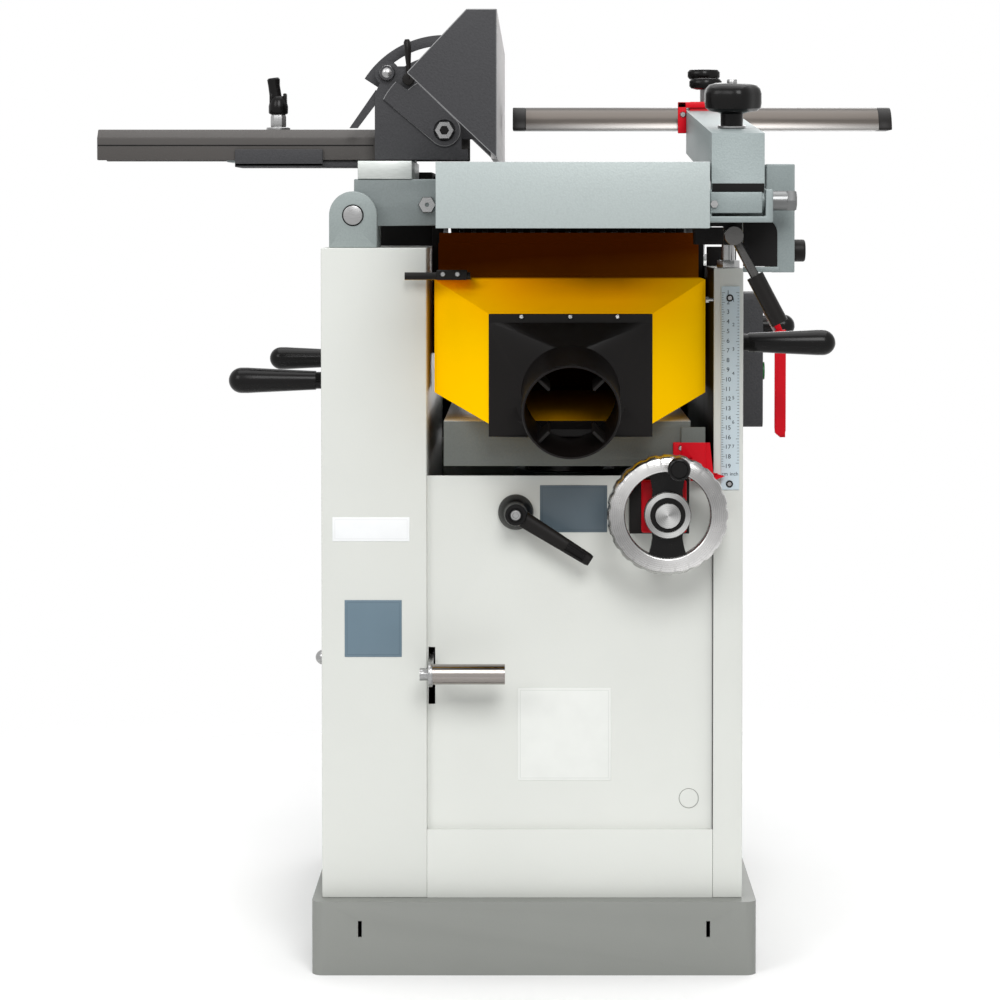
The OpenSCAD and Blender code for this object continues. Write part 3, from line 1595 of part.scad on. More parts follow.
plinth();
left_column();
right_column();
front_panel();
rear_panel();
hinge_lugs();
hinge_pins();
lifting_handles();
belt_cover();
left_head_plate();
right_head_plate();
cutter_bearings();
motor();
motor_rotor();
drive_belt();
pillar_housing();
scale_plate();
stop_bolts();
switch_box();
wheel_bracket();
finger_rod();
outfeed_table();
outfeed_arm();
fence_rail();
fence_base();
guard_mount();
guard_pivot();
infeed_arm();
infeed_table();
fence_bar();
tilt_bracket();
fence_plate();
fence_ends();
fence_quadrant();
fence_clamp();
tilt_lever();
guard_arm();
guard_clip();
guard_bar();
guard_caps();
guard_knob();
clip_knob_front();
clip_knob_rear();
outfeed_lock();
infeed_lock();
thicknesser_table();
table_pillar();
lead_screw();
handwheel();
crank_knob();
thickness_lock();
feed_lever();
dust_hood();
dust_port();
cutterblock();
infeed_roller();
outfeed_roller();
kickback_fingers();
stop_flap();
start_button();
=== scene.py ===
"""Finishes, fittings and studio for the planer thicknesser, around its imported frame."""
import json
import math

import bmesh
import bpy
from mathutils import Matrix, Vector


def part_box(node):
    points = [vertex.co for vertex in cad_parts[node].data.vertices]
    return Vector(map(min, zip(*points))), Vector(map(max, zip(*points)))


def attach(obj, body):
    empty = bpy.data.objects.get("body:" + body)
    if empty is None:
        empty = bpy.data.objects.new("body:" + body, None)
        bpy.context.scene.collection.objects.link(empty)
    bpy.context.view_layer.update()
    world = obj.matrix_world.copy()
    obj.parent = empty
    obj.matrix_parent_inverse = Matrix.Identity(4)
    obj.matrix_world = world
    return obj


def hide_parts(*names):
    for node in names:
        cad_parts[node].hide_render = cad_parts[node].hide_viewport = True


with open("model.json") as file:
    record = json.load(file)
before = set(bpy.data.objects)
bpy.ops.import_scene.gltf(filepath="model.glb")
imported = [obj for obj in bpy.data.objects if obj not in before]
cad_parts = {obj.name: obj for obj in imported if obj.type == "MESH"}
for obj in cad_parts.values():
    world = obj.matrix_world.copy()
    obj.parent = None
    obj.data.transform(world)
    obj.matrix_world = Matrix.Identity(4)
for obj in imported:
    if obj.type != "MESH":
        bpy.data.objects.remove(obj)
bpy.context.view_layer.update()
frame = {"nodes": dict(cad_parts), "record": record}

MM = 0.001
RECORD = frame["record"]
BODY_OF = {node: body for body, nodes in RECORD["behaviour"]["bodies"].items() for node in nodes}


class Box:
    """A node's sides in mm, x0 to x1, y0 to y1 and z0 to z1, with its middle x, y and z."""

    def __init__(self, node):
        for axis, low, high in zip("xyz", *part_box(node)):
            setattr(self, axis + "0", low / MM)
            setattr(self, axis + "1", high / MM)
            setattr(self, axis, (low + high) / 2 / MM)


HOOD, PORT, TABLE_BOX, BED_BOX, GUARD_BAR, MOUNT, PANEL, COLUMN, LEFT_COLUMN, BRACKET, LEVER, SLIDE = [
    Box(node) for node in (
        "dust_hood", "dust_port", "outfeed_table", "thicknesser_table", "guard_bar", "guard_mount",
        "front_panel", "right_column", "left_column", "tilt_bracket", "tilt_lever", "fence_bar")]
# Paint stops this far below a ground top; a label's border line lies this far in and is this wide
GROUND_EDGE, BORDER_INSET, BORDER_LINE = 0.3, 2.2, 0.7


def arithmetic(operation, swapped=False):
    """A method that joins a value and another by a Math node."""
    def method(self, other):
        return self.net.math(operation, *((other, self) if swapped else (self, other)))
    return method


class Value:
    """A node's output that takes part in Python arithmetic."""

    def __init__(self, net, socket):
        self.net = net
        self.socket = socket

    __add__, __radd__ = arithmetic("ADD"), arithmetic("ADD", True)
    __sub__, __rsub__ = arithmetic("SUBTRACT"), arithmetic("SUBTRACT", True)
    __mul__, __rmul__ = arithmetic("MULTIPLY"), arithmetic("MULTIPLY", True)
    __gt__, __lt__ = arithmetic("GREATER_THAN"), arithmetic("LESS_THAN")

    def part(self, name):
        """Another output of the same node."""
        return Value(self.net, self.socket.node.outputs[name])


class Net:
    """A node tree that is built one node at a time."""

    def __init__(self, tree):
        self.tree = tree

    def add(self, kind, settings=None, inputs=None, output=0):
        made = self.tree.nodes.new(kind)
        for key, value in (settings or {}).items():
            setattr(made, key, value)
        for key, value in (inputs or {}).items():
            self.put(made.inputs[key], value)
        return Value(self, made.outputs[output])

    def put(self, socket, value):
        if isinstance(value, Value):
            self.tree.links.new(value.socket, socket)
        else:
            socket.default_value = value

    def math(self, operation, a, b=0.0):
        return self.add("ShaderNodeMath", {"operation": operation}, {0: a, 1: b})


def linear(red, green, blue):
    """A colour written in screen values from 0 to 255, as the shader wants it."""
    def one(level):
        level = level / 255
        return level / 12.92 if level <= 0.04045 else ((level + 0.055) / 1.055) ** 2.4
    return (one(red), one(green), one(blue), 1.0)


def toned(colour, factor):
    return tuple(min(1.0, c * factor) for c in colour[:3]) + (1.0,)


class Finish(Net):
    """One material: a Principled shader whose patterns follow Object coordinates."""

    SOCKETS = {"colour": "Base Color", "rough": "Roughness", "metal": "Metallic", "normal": "Normal",
               "glow": "Emission Color"}

    def __init__(self, name, shine=None):
        self.material = bpy.data.materials.new(name)
        self.material.use_nodes = True
        super().__init__(self.material.node_tree)
        self.shader = self.tree.nodes["Principled BSDF"]
        self.place = self.add("ShaderNodeTexCoord", output="Object")
        if shine is not None:
            self.put(self.shader.inputs["Specular IOR Level"], shine)

    def noise(self, scale, detail=2.0, stretch=(1, 1, 1)):
        spot = self.add("ShaderNodeMapping", inputs={"Vector": self.place, "Scale": stretch})
        return self.add("ShaderNodeTexNoise", inputs={"Vector": spot, "Scale": scale, "Detail": detail})

    def dimples(self, scale):
        return self.add("ShaderNodeTexVoronoi", {"feature": "SMOOTH_F1"},
                        {"Vector": self.place, "Scale": scale})

    def axis(self, name):
        return self.add("ShaderNodeSeparateXYZ", inputs={"Vector": self.place}, output=name)

    def span(self, value, start, end):
        """From 0 to 1 as a value goes between two places in mm."""
        return self.add("ShaderNodeMapRange", {"clamp": True},
                        {"Value": value, "From Min": start * MM, "From Max": end * MM})

    def ramp(self, name, start, end):
        return self.span(self.axis(name), start, end)

    def away(self, name, middle):
        """Distance along an axis from a place in mm."""
        return self.math("ABSOLUTE", self.axis(name) - middle * MM)

    def mix(self, factor, a, b):
        return self.add("ShaderNodeMix", {"data_type": "RGBA"}, {0: factor, 6: a, 7: b}, output=2)

    def tones(self, factor, colour, low, high):
        """One colour between two of its tones."""
        return self.mix(factor, toned(colour, low), toned(colour, high))

    def bump(self, height, depth, strength=0.5):
        """Relief of a depth in mm."""
        return self.add("ShaderNodeBump",
                        inputs={"Strength": strength, "Distance": depth * MM, "Height": height})

    def wear(self, **sockets):
        for key, value in sockets.items():
            self.put(self.shader.inputs[self.SOCKETS[key]], value)
        return self.material


def powder_coat(name, colour, rough=0.42, grain=420, depth=0.12, shine=0.3):
    """Baked paint on sheet: orange peel, slow tone drift and faint rubbed patches."""
    f = Finish(name, shine)
    return f.wear(colour=f.tones(f.noise(5, 3), colour, 0.94, 1.06),
                  rough=f.noise(22, 4) * 0.14 + (rough - 0.07), normal=f.bump(f.noise(grain, 2), depth))


def hood_paint(name, colour, shade, shadow_brown):
    """Smooth yellow paint with painted shade: deeper up the sloped top, a painted shadow of the table's edge,
    and dark brown on the wall behind the lip; its glow is painted light.
    """
    f = Finish(name, 0.0)
    # Emission makes the whole hood glow a little. This is painted light, and it is strongest on the sloped top.
    f.put(f.shader.inputs["Emission Strength"], 1.0)
    middle = f.span(f.away("X", PORT.x), 125, 55)
    # Painted shade: the colour deepens up the sloped top, most of all across its middle.
    slope_shade = f.ramp("Z", HOOD.z1 - 97, HOOD.z1 - 40) * (middle * 0.8 + 0.2)
    # Painted shade on the wall behind the lip, darker higher up.
    painted_shade = f.span(f.noise(14, 3) * 0.012 + f.axis("Z") - f.axis("X") * 0.06, HOOD.z1 - 46, HOOD.z1 - 10)
    # Painted shadow of the table's edge across the upper part of the sloped top.
    table_shadow = f.ramp("Z", HOOD.z1 - 58, HOOD.z1 - 38) * f.ramp("X", HOOD.x0 + 99, HOOD.x0 + 194) * middle
    # Under the latch the glow is taken away, as painted shade.
    nook = f.ramp("Z", HOOD.z1 - 58, HOOD.z1 - 46) * f.ramp("X", HOOD.x0 + 78, HOOD.x0 + 66)
    # From the lip back, the wall takes the painted shade colours.
    back = f.ramp("Y", HOOD.y0 + 80, HOOD.y0 + 170)
    base = f.mix(slope_shade * 0.75, f.tones(f.noise(5, 3), colour, 0.97, 1.03), shade)
    base = f.mix(table_shadow * 0.6, base, toned(shade, 0.36))
    wall = f.mix(painted_shade, toned(shade, 0.42), shadow_brown)
    glow = f.mix(slope_shade, toned(colour, 0.17), toned(shade, 0.46))
    glow = f.mix(f.math("MAXIMUM", nook, table_shadow * 0.75), glow, toned(colour, 0.02))
    return f.wear(colour=f.mix(back, base, wall), glow=f.mix(back, glow, toned(shadow_brown, 0.12)),
                  rough=f.noise(22, 4) * 0.14 + 0.42, normal=f.bump(f.noise(300, 2), 0.1))


def hood_inside(name, colour, shadow_brown):
    """The same paint inside the hood, with painted shade above its floor and towards the back."""
    f = Finish(name, 0.0)
    painted_shade = f.math("MAXIMUM", f.ramp("Z", HOOD.z0 + 28, HOOD.z0 + 42), f.ramp("Y", HOOD.y0 + 20, HOOD.y0 + 75))
    return f.wear(colour=f.mix(f.noise(9, 3) * 0.3 + painted_shade * 0.8, colour, shadow_brown),
                  rough=f.noise(30, 3) * 0.2 + 0.5, normal=f.bump(f.noise(300, 2), 0.1))


def hammertone(name, colour, rough=0.42, top=None, top_metal=0.8, top_tone=1.0):
    """Hammered paint on a casting, with a ground steel top from a given height in mm."""
    f = Finish(name, 0.3)
    dimple = f.dimples(620)
    fleck = f.noise(1500, 2)
    drift = f.noise(6, 3)
    paint = f.tones(dimple * 1.4, colour, 1.05, 0.92)
    paint = f.mix(fleck * drift, paint, toned(colour, 1.08))
    height = dimple * 0.7 + fleck * 0.3
    if top is None:
        return f.wear(colour=paint, rough=drift * 0.15 + (rough - 0.07), metal=0.1,
                      normal=f.bump(height, 0.22, 0.6))
    streak = f.noise(70, 4, (14, 0.5, 1))
    mill = f.noise(9, 2, (1, 12, 1))
    steel = f.mix(streak, toned(linear(146, 149, 150), top_tone), toned(linear(186, 188, 188), top_tone))
    ground = f.axis("Z") > (top - GROUND_EDGE) * MM
    painted = 1 - ground
    return f.wear(colour=f.mix(ground, paint, steel), metal=ground * top_metal + 0.1,
                  rough=painted * rough + ground * (mill * 0.12 + 0.24),
                  normal=f.bump(height * painted + streak * ground * 0.08, 0.22, 0.6))


def crinkle(name, colour, rough=0.62):
    """Textured black powder coat of the fence castings."""
    f = Finish(name, 0.22)
    wrinkle = f.noise(480, 5)
    base = f.mix(f.noise(8, 3) * 0.5, f.tones(wrinkle, colour, 0.7, 1.5), toned(colour, 1.25))
    return f.wear(colour=base, rough=wrinkle * 0.2 + (rough - 0.1),
                  normal=f.bump(wrinkle * 0.7 + f.dimples(520) * 0.5, 0.6, 0.7))


def bare_metal(name, colour, rough, stretch, grain=160, depth=0.06):
    """Turned, brushed or drawn metal with streaks along one direction."""
    f = Finish(name)
    streak = f.noise(grain, 4, stretch)
    return f.wear(colour=f.tones(streak, colour, 0.84, 1.1), metal=1.0,
                  rough=f.noise(26, 3) * 0.16 + streak * 0.08 + (rough - 0.12), normal=f.bump(streak, depth))


def anodised(name, colour):
    """Matte anodised aluminium, with faint draw lines along the fence."""
    f = Finish(name, 0.04)
    line = f.noise(240, 4, (1, 0.02, 1))
    return f.wear(colour=f.tones(line, colour, 0.9, 1.08), metal=0.0, rough=line * 0.15 + 0.45,
                  normal=f.bump(line, 0.05))


def guard_extrusion(name, colour, lip):
    """Drawn aluminium bar: dull brushed crown over a painted highlight along its lower lip."""
    f = Finish(name)
    streak = f.noise(260, 4, (0.02, 1, 1))
    # The painted highlight covers the bottom few mm, and the brushed colour takes over above.
    crown = f.ramp("Z", GUARD_BAR.z0 + 2, GUARD_BAR.z0 + 8)
    return f.wear(colour=f.mix(crown, lip, f.tones(streak, colour, 0.86, 1.1)), metal=1.0,
                  rough=streak * 0.14 + 0.24, normal=f.bump(streak, 0.06))


def moulded(name, colour, rough=0.42, grain=700, depth=0.08, shine=0.3):
    """Moulded plastic: fine spark grain and slow gloss change."""
    f = Finish(name, shine)
    gloss = f.noise(30, 3)
    return f.wear(colour=f.tones(gloss, colour, 0.85, 1.25), rough=gloss * 0.16 + (rough - 0.08),
                  normal=f.bump(f.noise(grain, 3), depth, 0.6))


def printed_plate(name, colour, edge, x0, x1, z0, z1):
    """Bare printed plate between four sides in mm, with a thin border line drawn on its front."""
    f = Finish(name)
    across = f.away("X", (x0 + x1) / 2)
    up = f.away("Z", (z0 + z1) / 2)

    def within(inset):
        return (across < ((x1 - x0) / 2 - inset) * MM) * (up < ((z1 - z0) / 2 - inset) * MM)

    border = within(BORDER_INSET) - within(BORDER_INSET + BORDER_LINE)
    haze = f.noise(40, 3)
    return f.wear(colour=f.mix(border, f.tones(haze, colour, 0.94, 1.05), edge), rough=haze * 0.1 + 0.3,
                  normal=f.bump(f.noise(500, 2), 0.04, 0.4))


def rubber_finish(name, colour):
    f = Finish(name)
    pore = f.noise(600, 4)
    return f.wear(colour=f.tones(f.noise(14, 3), colour, 0.8, 1.6), rough=pore * 0.15 + 0.68,
                  normal=f.bump(pore, 0.2, 0.7))


def turned_metal(name, colour, rough, x, z):
    """Lathe-turned face: fine rings about an axis along Y, at a place in mm, under a painted highlight that
    brightens two sectors round that axis and darkens the two between.
    """
    f = Finish(name)
    spot = f.add("ShaderNodeMapping", {"vector_type": "POINT"},
                 {"Vector": f.place, "Location": (-x * MM, 0, -z * MM)})
    rings = f.add("ShaderNodeTexWave", {"wave_type": "RINGS", "rings_direction": "Y"},
                  {"Vector": spot, "Scale": 160.0, "Distortion": 0.4, "Detail": 2.0}, output="Fac")
    grain = f.noise(90, 3)
    # The bearing round the axis drives a painted highlight. The rings and grain are the metal's own.
    bearing = f.math("ARCTAN2", f.axis("Z") - z * MM, f.axis("X") - x * MM)
    rings_and_painted_sheen = f.math("COSINE", bearing * 2.0 + 2.2) * 0.36 + 0.34 + rings * 0.12 + grain * 0.2
    return f.wear(colour=f.tones(rings_and_painted_sheen, colour, 0.34, 1.12), metal=1.0, rough=grain * 0.14 + (rough - 0.05),
                  normal=f.bump(rings, 0.08))


CABINET = powder_coat("cabinet_paint", linear(214, 216, 211), 0.4)
PLINTH = powder_coat("plinth_paint", linear(134, 136, 132), 0.45)
TABLE = hammertone("table_hammertone", linear(172, 181, 180), 0.4, TABLE_BOX.z1)
ARM_GREY = hammertone("arm_hammertone", linear(140, 150, 150), 0.4)
LUG_GREY = hammertone("lug_hammertone", linear(146, 155, 154))
CASTING = hammertone("casting_hammertone", linear(127, 135, 135))
BED = hammertone("bed_hammertone", linear(96, 99, 95), 0.42, BED_BOX.z1, 0.1, 1.5)
CHARCOAL = crinkle("charcoal_crinkle", linear(58, 58, 60))
# A lighter charcoal, put on rounded front edges as a painted highlight.
EDGE_HIGHLIGHT = powder_coat("charcoal_rubbed", linear(132, 132, 133), 0.4)
BAR = powder_coat("bar_paint", linear(74, 71, 69), 0.5, 500, 0.2)
# The hood's second colour is the painted shade of its sloped top, and its third is the painted shade on the
# wall behind the lip. The inside's second colour is painted shade above its floor.
YELLOW = hood_paint("hood_yellow", linear(255, 196, 0), linear(240, 152, 0), linear(96, 42, 2))
HOOD_INSIDE = hood_inside("hood_inside", linear(250, 176, 0), linear(58, 24, 1))
BLACK = moulded("black_plastic", linear(22, 20, 19), 0.4, shine=0.15)
PORT_BLACK = moulded("port_black", linear(14, 11, 10), 0.34, shine=0.16)
GLOSS_BLACK = moulded("gloss_black", linear(14, 13, 13), 0.22, 300, 0.03, 0.16)
RED = moulded("red_plastic", linear(206, 12, 30), 0.34, shine=0.15)
GREEN = moulded("green_plastic", linear(40, 128, 62), 0.32)
FENCE_ALU = anodised("fence_aluminium", linear(186, 183, 183))
# The second colour is a painted highlight along the bar's lower edge.
GUARD_ALU = guard_extrusion("guard_aluminium", linear(87, 82, 78), linear(130, 128, 126))
RAIL = bare_metal("rail_milled", linear(190, 194, 191), 0.42, (1, 0.1, 6), 120)
STEEL = bare_metal("bright_steel", linear(158, 158, 158), 0.28, (1, 1, 8), 200)
WORN_STEEL = bare_metal("worn_steel", linear(112, 113, 113), 0.34, (1, 1, 8), 200)
# A darker copy of the steel. On the parts under the tables it is painted shade.
DARK_STEEL = bare_metal("dark_steel", linear(84, 83, 82), 0.3, (1, 1, 6), 180)
CHROME = bare_metal("lever_chrome", linear(150, 144, 140), 0.2, (0.05, 2, 2), 90, 0.02)
RUBBER = rubber_finish("roller_rubber", linear(34, 34, 34))
MOTOR = powder_coat("motor_paint", linear(92, 96, 102), 0.5)
SCALE_BASE = powder_coat("scale_print", linear(203, 217, 224), 0.35, 600, 0.04)
INK = moulded("scale_ink", linear(36, 44, 52), 0.5)
# Dark paint of some real parts, also put in recesses and gaps as painted shade.
DARK = powder_coat("dark_inside", linear(26, 25, 25), 0.6, shine=0.1)


def smooth(mesh, degrees=35):
    mesh.polygons.foreach_set("use_smooth", [True] * len(mesh.polygons))
    mesh.set_sharp_from_angle(angle=math.radians(degrees))


def linked(name, data):
    """A new object in the scene."""
    made = bpy.data.objects.new(name, data)
    bpy.context.scene.collection.objects.link(made)
    return made


def publish(name, mesh, finish, body, stands_for=()):
    """A finished piece, with its place in its mesh, that rides on a body."""
    made = linked(name, mesh)
    if finish is not None:
        mesh.materials.clear()
        mesh.materials.append(finish)
    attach(made, body)
    if stands_for:
        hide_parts(*stands_for)
    return made


def into_mesh(name, shape, turn_out=True):
    if turn_out:
        bmesh.ops.recalc_face_normals(shape, faces=shape.faces)
    mesh = bpy.data.meshes.new(name)
    shape.to_mesh(mesh)
    shape.free()
    smooth(mesh)
    return mesh


MERGE = 0.01
FLAT_TURN, SHARP_TURN = math.radians(0.6), math.radians(38)
LEAST_EDGE = 2.2


def soften(node, finish, width):
    """A node's copy, one shell with joined flats and small rounds on its long edges, in place of the node."""
    shape = bmesh.new()
    shape.from_mesh(frame["nodes"][node].data)
    bmesh.ops.remove_doubles(shape, verts=shape.verts, dist=MERGE * MM)
    bmesh.ops.dissolve_limit(shape, angle_limit=FLAT_TURN, verts=shape.verts, edges=shape.edges)
    sharp = [edge for edge in shape.edges if len(edge.link_faces) == 2
             and edge.calc_face_angle(0.0) > SHARP_TURN and edge.calc_length() > LEAST_EDGE * width * MM]
    if sharp:
        bmesh.ops.bevel(shape, geom=sharp, offset=width * MM, offset_type="OFFSET", segments=2,
                        profile=0.6, affect="EDGES", clamp_overlap=True)
    mesh = into_mesh(node + "_soft", shape, False)
    return publish(node + "_finished", mesh, finish, BODY_OF[node], (node,))


def repaint(piece, finish, chosen):
    """Gives another finish to the faces that a test picks by their centre in mm and their normal."""
    piece.data.materials.append(finish)
    for face in piece.data.polygons:
        if chosen(face.center / MM, face.normal):
            face.material_index = len(piece.data.materials) - 1


# Shapes, in mm, on a bmesh
def ring(shape, points):
    return [shape.verts.new(Vector(p) * MM) for p in points]


def walls(shape, rings):
    """Joins rings in turn, with their ends left open."""
    for a, b in zip(rings, rings[1:]):
        for i in range(len(a)):
            j = (i + 1) % len(a)
            shape.faces.new((a[i], a[j], b[j], b[i]))


def loft(shape, rings, closed=False):
    """Joins rings in turn; the last one joins the first, or both ends get a face."""
    walls(shape, rings + rings[:1] if closed else rings)
    if not closed:
        shape.faces.new(list(reversed(rings[0])))
        shape.faces.new(rings[-1])


def turning(origin, axis):
    """Turns a profile's own axis, +Z, on to an axis and puts it at an origin."""
    return Matrix.Translation(Vector(origin)) @ Vector(axis).to_track_quat("Z", "Y").to_matrix().to_4x4()


def lathe(shape, profile, origin, axis, steps=48, wave=None, closed=False):
    """Spins (radius, height) pairs round an axis, as a solid or a closed hoop; wave changes the radius."""
    place = turning(origin, axis)
    turns = [math.tau * i / steps for i in range(steps)]

    def spot(turn, radius, height):
        r = radius * (wave(turn, radius, height) if wave else 1)
        return place @ Vector((r * math.cos(turn), r * math.sin(turn), height))

    loft(shape, [ring(shape, [spot(turn, *pair) for turn in turns]) for pair in profile], closed)


def hoop(shape, profile, origin, axis, steps=96, wave=None):
    """Spins a closed outline round an axis, as a rim or a washer."""
    lathe(shape, profile, origin, axis, steps, wave, True)


def washer(shape, inner, outer, thick, origin, steps):
    """A flat ring that faces the camera."""
    hoop(shape, [(inner, 0), (inner, thick), (outer, thick), (outer, 0)], origin, FRONT, steps)


def brick(shape, low, high, rounding=0.0):
    """A box between two corners with softened edges."""
    made = bmesh.ops.create_cube(shape, size=1.0)["verts"]
    for v in made:
        v.co = Vector([a + (b - a) * (c + 0.5) for a, b, c in zip(low, high, v.co)]) * MM
    if rounding:
        edges = list({e for v in made for e in v.link_edges})
        bmesh.ops.bevel(shape, geom=edges, offset=rounding * MM, segments=3, profile=0.5, affect="EDGES")


def tube(shape, path, radii, steps, flat):
    """Sweeps a round or flattened section along points, with closed ends."""
    spots = [Vector(p) for p in path]
    turns = [math.tau * k / steps for k in range(steps)]
    rings = []
    for before, spot, after, radius in zip(spots[:1] + spots, spots, spots[1:] + spots[-1:], radii):
        way = (after - before).normalized()
        side = way.cross(Vector(BACK if abs(way.y) < 0.9 else UP)).normalized()
        lift = side.cross(way).normalized() * flat
        rings.append(ring(shape, [spot + (side * math.cos(t) + lift * math.sin(t)) * radius for t in turns]))
    loft(shape, rings)


def prism(shape, outline, y0, y1):
    """A flat plate from an (x, z) outline, between two depths."""
    loft(shape, [ring(shape, [(x, y, z) for x, z in outline]) for y in (y0, y1)])


def arc(x, z, radius, start, end, steps=8):
    turns = [math.radians(start + (end - start) * i / steps) for i in range(steps + 1)]
    return [(x + radius * math.cos(t), z + radius * math.sin(t)) for t in turns]


def dome(shape, radius, height, origin, axis, steps, rows=8):
    """A low round cap."""
    turns = [math.pi / 2 * i / rows for i in range(rows + 1)]
    lathe(shape, [(radius * math.cos(t) + 0.02, height * math.sin(t)) for t in turns], origin, axis, steps)


def rounded_end(radius, start, end, edge, rows=4):
    """Profile of a turned piece with rounded rims."""
    bends = [math.pi / 2 * i / rows for i in range(rows + 1)]
    inner = radius - edge
    return ([(inner + edge * math.sin(a), start + edge - edge * math.cos(a)) for a in bends]
            + [(inner + edge * math.cos(a), end - edge + edge * math.sin(a)) for a in bends])


def hex_nut(shape, at, way, radius, high, hole):
    lathe(shape, [(radius * 0.93, 0), (radius, high * 0.12), (radius, high * 0.82), (radius * 0.9, high),
                  (hole, high), (hole, high * 0.55)], at, way, 6)


FRONT, BACK, RIGHT, LEFT, UP = (0, -1, 0), (0, 1, 0), (1, 0, 0), (-1, 0, 0), (0, 0, 1)


# Geometry Nodes trees
def new_tree(name, **sockets):
    """A Geometry Nodes tree with named inputs by kind; returns its net, its input node and its identifiers."""
    tree = bpy.data.node_groups.new(name, "GeometryNodeTree")
    for way in ("INPUT", "OUTPUT"):
        tree.interface.new_socket("Geometry", in_out=way, socket_type="NodeSocketGeometry")
    keys = {label: tree.interface.new_socket(label, in_out="INPUT", socket_type="NodeSocket" + kind).identifier
            for kind, labels in sockets.items() for label in labels.split(", ")}
    net = Net(tree)
    return net, net.add("NodeGroupInput").part, keys


def close_tree(net, given, points, item, **how):
    """Puts an item on each point, and ends the tree in Realize Instances and Set Material."""
    placed = net.add("GeometryNodeInstanceOnPoints", inputs={"Points": points, "Instance": item, **how})
    real = net.add("GeometryNodeRealizeInstances", inputs={"Geometry": placed})
    done = net.add("GeometryNodeSetMaterial", inputs={"Geometry": real, "Material": given("Finish")})
    net.put(net.tree.nodes.new("NodeGroupOutput").inputs["Geometry"], done)


def vector(net, **axes):
    return net.add("ShaderNodeCombineXYZ", inputs=axes)


def row_of_points(net, given, step):
    return net.add("GeometryNodeMeshLine", inputs={
        "Count": given("Count"), "Offset": step, "Start Location": given("Start")})


def screw_tree():
    """Pan-headed screws on points that carry the way they face."""
    net, given, keys = new_tree("screws_on_points", Float="Head Radius, Head Height, Crown", Int="Sides",
                                Material="Finish")
    radius, height = given("Head Radius"), given("Head Height")
    facing = net.add("GeometryNodeInputNamedAttribute", {"data_type": "FLOAT_VECTOR"}, {"Name": "facing"})
    turn = net.add("FunctionNodeAlignRotationToVector", {"axis": "Z"}, {"Vector": facing})
    head = net.add("GeometryNodeMeshCone", inputs={
        "Vertices": given("Sides"), "Radius Bottom": radius, "Radius Top": radius * given("Crown"),
        "Depth": height})
    socket = net.add("GeometryNodeMeshCylinder", inputs={
        "Vertices": 6, "Radius": radius * 0.42, "Depth": height * 0.3})
    raised = net.add("GeometryNodeTransform", inputs={"Geometry": socket, "Translation": vector(net, Z=height)})
    both = net.add("GeometryNodeJoinGeometry", inputs={0: head})
    net.put(both.socket.node.inputs[0], raised)
    close_tree(net, given, given("Geometry"), both, Rotation=turn)
    return net.tree, keys


def tick_tree():
    """A row of scale ticks, every few of them longer."""
    net, given, keys = new_tree("scale_ticks", Int="Count, Long Every", Vector="Start", Material="Finish",
                                Float="Pitch, Length, Stroke, Depth, Long Factor, Side")
    row = row_of_points(net, given, vector(net, Z=given("Pitch") * -1.0))
    size = vector(net, X=given("Length"), Y=given("Depth"), Z=given("Stroke"))
    aside = net.add("GeometryNodeTransform", inputs={
        "Geometry": net.add("GeometryNodeMeshCube", inputs={"Size": size}),
        "Translation": vector(net, X=given("Length") * given("Side") * 0.5)})
    long = net.math("MODULO", net.add("GeometryNodeInputIndex"), given("Long Every")) < 0.5
    stretch = vector(net, X=long * (given("Long Factor") - 1.0) + 1.0, Y=1.0, Z=1.0)
    close_tree(net, given, row, aside, Scale=stretch)
    return net.tree, keys


def rib_tree():
    """Ribs in a row along a line, from a start, a step and a size."""
    net, given, keys = new_tree("ribs_in_a_row", Int="Count", Vector="Start, Step, Size, Turn",
                                Material="Finish")
    rib = net.add("GeometryNodeMeshCube", inputs={"Size": given("Size")})
    turned = net.add("FunctionNodeEulerToRotation", inputs={"Euler": given("Turn")})
    close_tree(net, given, row_of_points(net, given, given("Step")), rib, Rotation=turned)
    return net.tree, keys


def grow(name, made, values, node, spots=()):
    """Runs a tree on bare points, each with the way it faces, and publishes the plain mesh that comes out."""
    tree, keys = made
    carrier = bpy.data.meshes.new(name + "_points")
    carrier.from_pydata([Vector(p) * MM for p, way in spots], [], [])
    facing = carrier.attributes.new("facing", "FLOAT_VECTOR", "POINT")
    for item, (p, way) in zip(facing.data, spots):
        item.vector = Vector(way).normalized()
    holder = linked(name + "_points", carrier)
    modifier = holder.modifiers.new("grow", "NODES")
    modifier.node_group = tree
    for label, value in values.items():
        modifier[keys[label]] = value
    mesh = bpy.data.meshes.new_from_object(holder.evaluated_get(bpy.context.evaluated_depsgraph_get()))
    mesh.name = name
    holder.modifiers.remove(modifier)
    bpy.data.objects.remove(holder)
    smooth(mesh)
    return publish(name, mesh, None, BODY_OF[node])


SCREWS, TICKS, RIBS = screw_tree(), tick_tree(), rib_tree()


def screws(name, node, spots, radius, height, way=FRONT, sides=20, crown=0.72):
    grow(name, SCREWS, {"Head Radius": radius * MM, "Head Height": height * MM, "Sides": sides, "Crown": crown,
                        "Finish": STEEL}, node, [(spot, way) for spot in spots])
